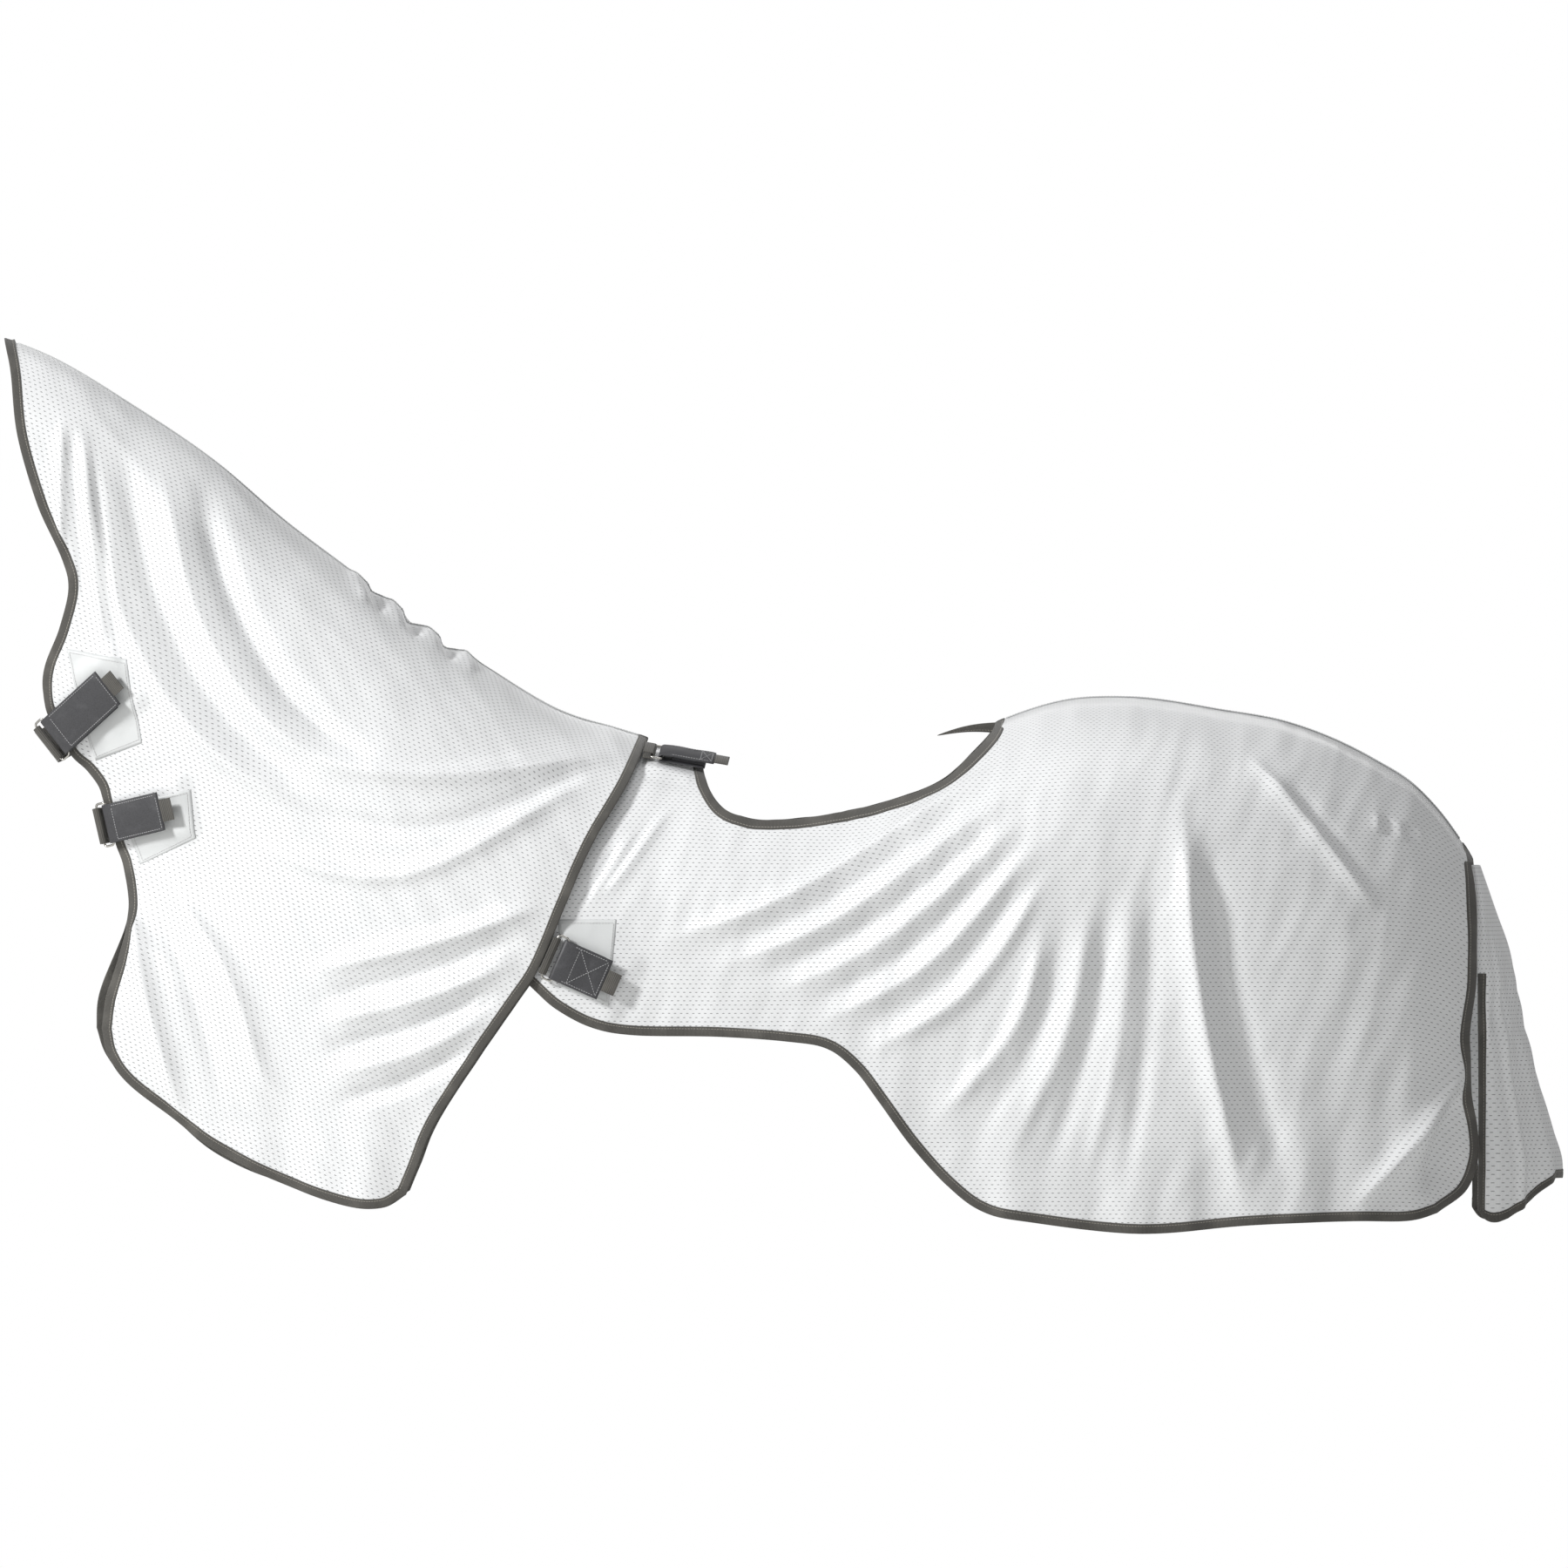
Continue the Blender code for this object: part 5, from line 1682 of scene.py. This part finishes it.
@dataclass(frozen=True)
class Studio:
    """The plain stage: floor, surroundings, lamps and camera."""

    floor_level: float = -1.62
    floor_size: float = 18.0
    centre: tuple[float, float] = (0.19375, -0.06875)   # what the camera looks at, x and z
    width: float = 2.25                 # width of the view at the sheet
    distance: float = 36.0
    lens: float = 600.0
    lamps: tuple[Lamp, ...] = (
        Lamp("key_lamp", (-8.0, -5.2, 5.0), 1.8, 1120.0),
        Lamp("fill_lamp", (2.5, -6.5, 0.2), 3.5, 34.0),
        Lamp("top_lamp", (0.9, -0.2, 5.2), 2.5, 60.0),
        Lamp("far_lamp", (1.0, 5.5, 2.0), 3.5, 40.0),
    )

    def floor(self, finish: bpy.types.Material) -> None:
        """Lays the pale floor under the object."""
        deselect_all()
        bpy.ops.mesh.primitive_plane_add(size=self.floor_size, location=(0.2, 0, self.floor_level))
        floor = bpy.context.object
        floor.name = "studio_floor"
        floor.data.materials.append(finish)

    def surroundings(self) -> None:
        """Sets plain white surroundings: bright behind the sheet, dimmer as a light on it."""
        world = bpy.data.worlds.new("white_studio")
        bpy.context.scene.world = world
        world.use_nodes = True
        tree = world.node_tree
        tree.nodes.clear()
        seen = add(tree, "LightPath").outputs["Is Camera Ray"]
        strength = add(tree, "MapRange", None, {"Value": seen, "To Min": 0.30, "To Max": 1.0}).outputs["Result"]
        glow = add(tree, "Background", None, {"Color": (1.0, 1.0, 1.0, 1.0), "Strength": strength})
        add(tree, "OutputWorld", None, {"Surface": glow.outputs[0]})

    def camera(self) -> None:
        """Sets a long lens level with the sheet, square to the horse's left side."""
        data = bpy.data.cameras.new("side_camera")
        data.lens = self.lens
        data.sensor_width = self.width / self.distance * self.lens
        data.clip_end = 400.0
        camera = bpy.data.objects.new("side_camera", data)
        camera.location = (self.centre[0], -self.distance, self.centre[1])
        camera.rotation_euler = (math.pi / 2, 0, 0)
        bpy.context.scene.collection.objects.link(camera)
        bpy.context.scene.camera = camera

    def build(self) -> None:
        """Sets the whole stage."""
        self.camera()
        self.surroundings()
        for lamp in self.lamps:
            lamp.build()
        self.floor(Floor().make())
        bpy.context.scene.view_settings.view_transform = "Standard"


def main() -> None:
    """Builds the stage and every piece of the sheet in order, and reports each."""
    logging.basicConfig(level=logging.INFO, format="%(message)s")
    Studio().build()
    finishes = Finishes()
    closures = {name: Closure(name, SIZES[name.split("_")[0]], finishes) for name in (
        "throat", "chest", "shoulder_left", "shoulder_right", "withers_left", "withers_right")}
    body, neck = {}, {}
    made: list[bpy.types.Object] = []
    for side in Side:
        near = [closures[f"shoulder_{side.word}"], closures[f"withers_{side.word}"]]
        body[side] = BodyHalf(BODY_SHAPE, side, BODY_FOLDS, near, finishes,
                              sway=() if side is Side.LEFT else BODY_SWAY)
        made += body[side].build()
        front = [closures["throat"], closures["chest"]] if side is Side.LEFT else []
        neck[side] = NeckHalf(NECK_SHAPE, side, NECK_FOLDS, front, finishes, grain=0.45, flow=(0.60, -0.80), depth=2.5,
                              patches=NECK_PATCHES if side is Side.LEFT else {},
                              sway=() if side is Side.LEFT else NECK_SWAY)
        made += neck[side].build()
    made += TopSeam("crest_ribbon", "crest_seam_tape", "neck_cover", neck[Side.LEFT], -0.905, -0.012).build()
    made += TopSeam("withers_ribbon", "withers_seam_tape", "body_sheet", body[Side.LEFT], -0.040, 0.062).build()
    made += TopSeam("croup_ribbon", "croup_seam_tape", "body_sheet", body[Side.LEFT], 0.512, 1.163).build()
    made += TailFlap(finishes).build()
    for closure in closures.values():
        made += closure.build()
    for obj in made:
        log.info("%s: %d faces", obj.name, len(obj.data.polygons))


BODY_SWAY = ((0.78, -0.705, 0.07, 0.0, -0.009), (1.07, -0.692, 0.06, 0.0, -0.008))
NECK_SWAY = ((-0.775, -0.37, 0.10, -0.015, 0.0), (-0.60, -0.60, 0.10, -0.004, -0.009))
NECK_PATCHES = {
    "throat": ((-0.834, 0.125), (-0.745, 0.110), (-0.725, -0.010), (-0.792, -0.035)),
    "chest": ((-0.750, -0.098), (-0.654, -0.076), (-0.646, -0.146), (-0.728, -0.184)),
}

if __name__ == "__main__":
    main()
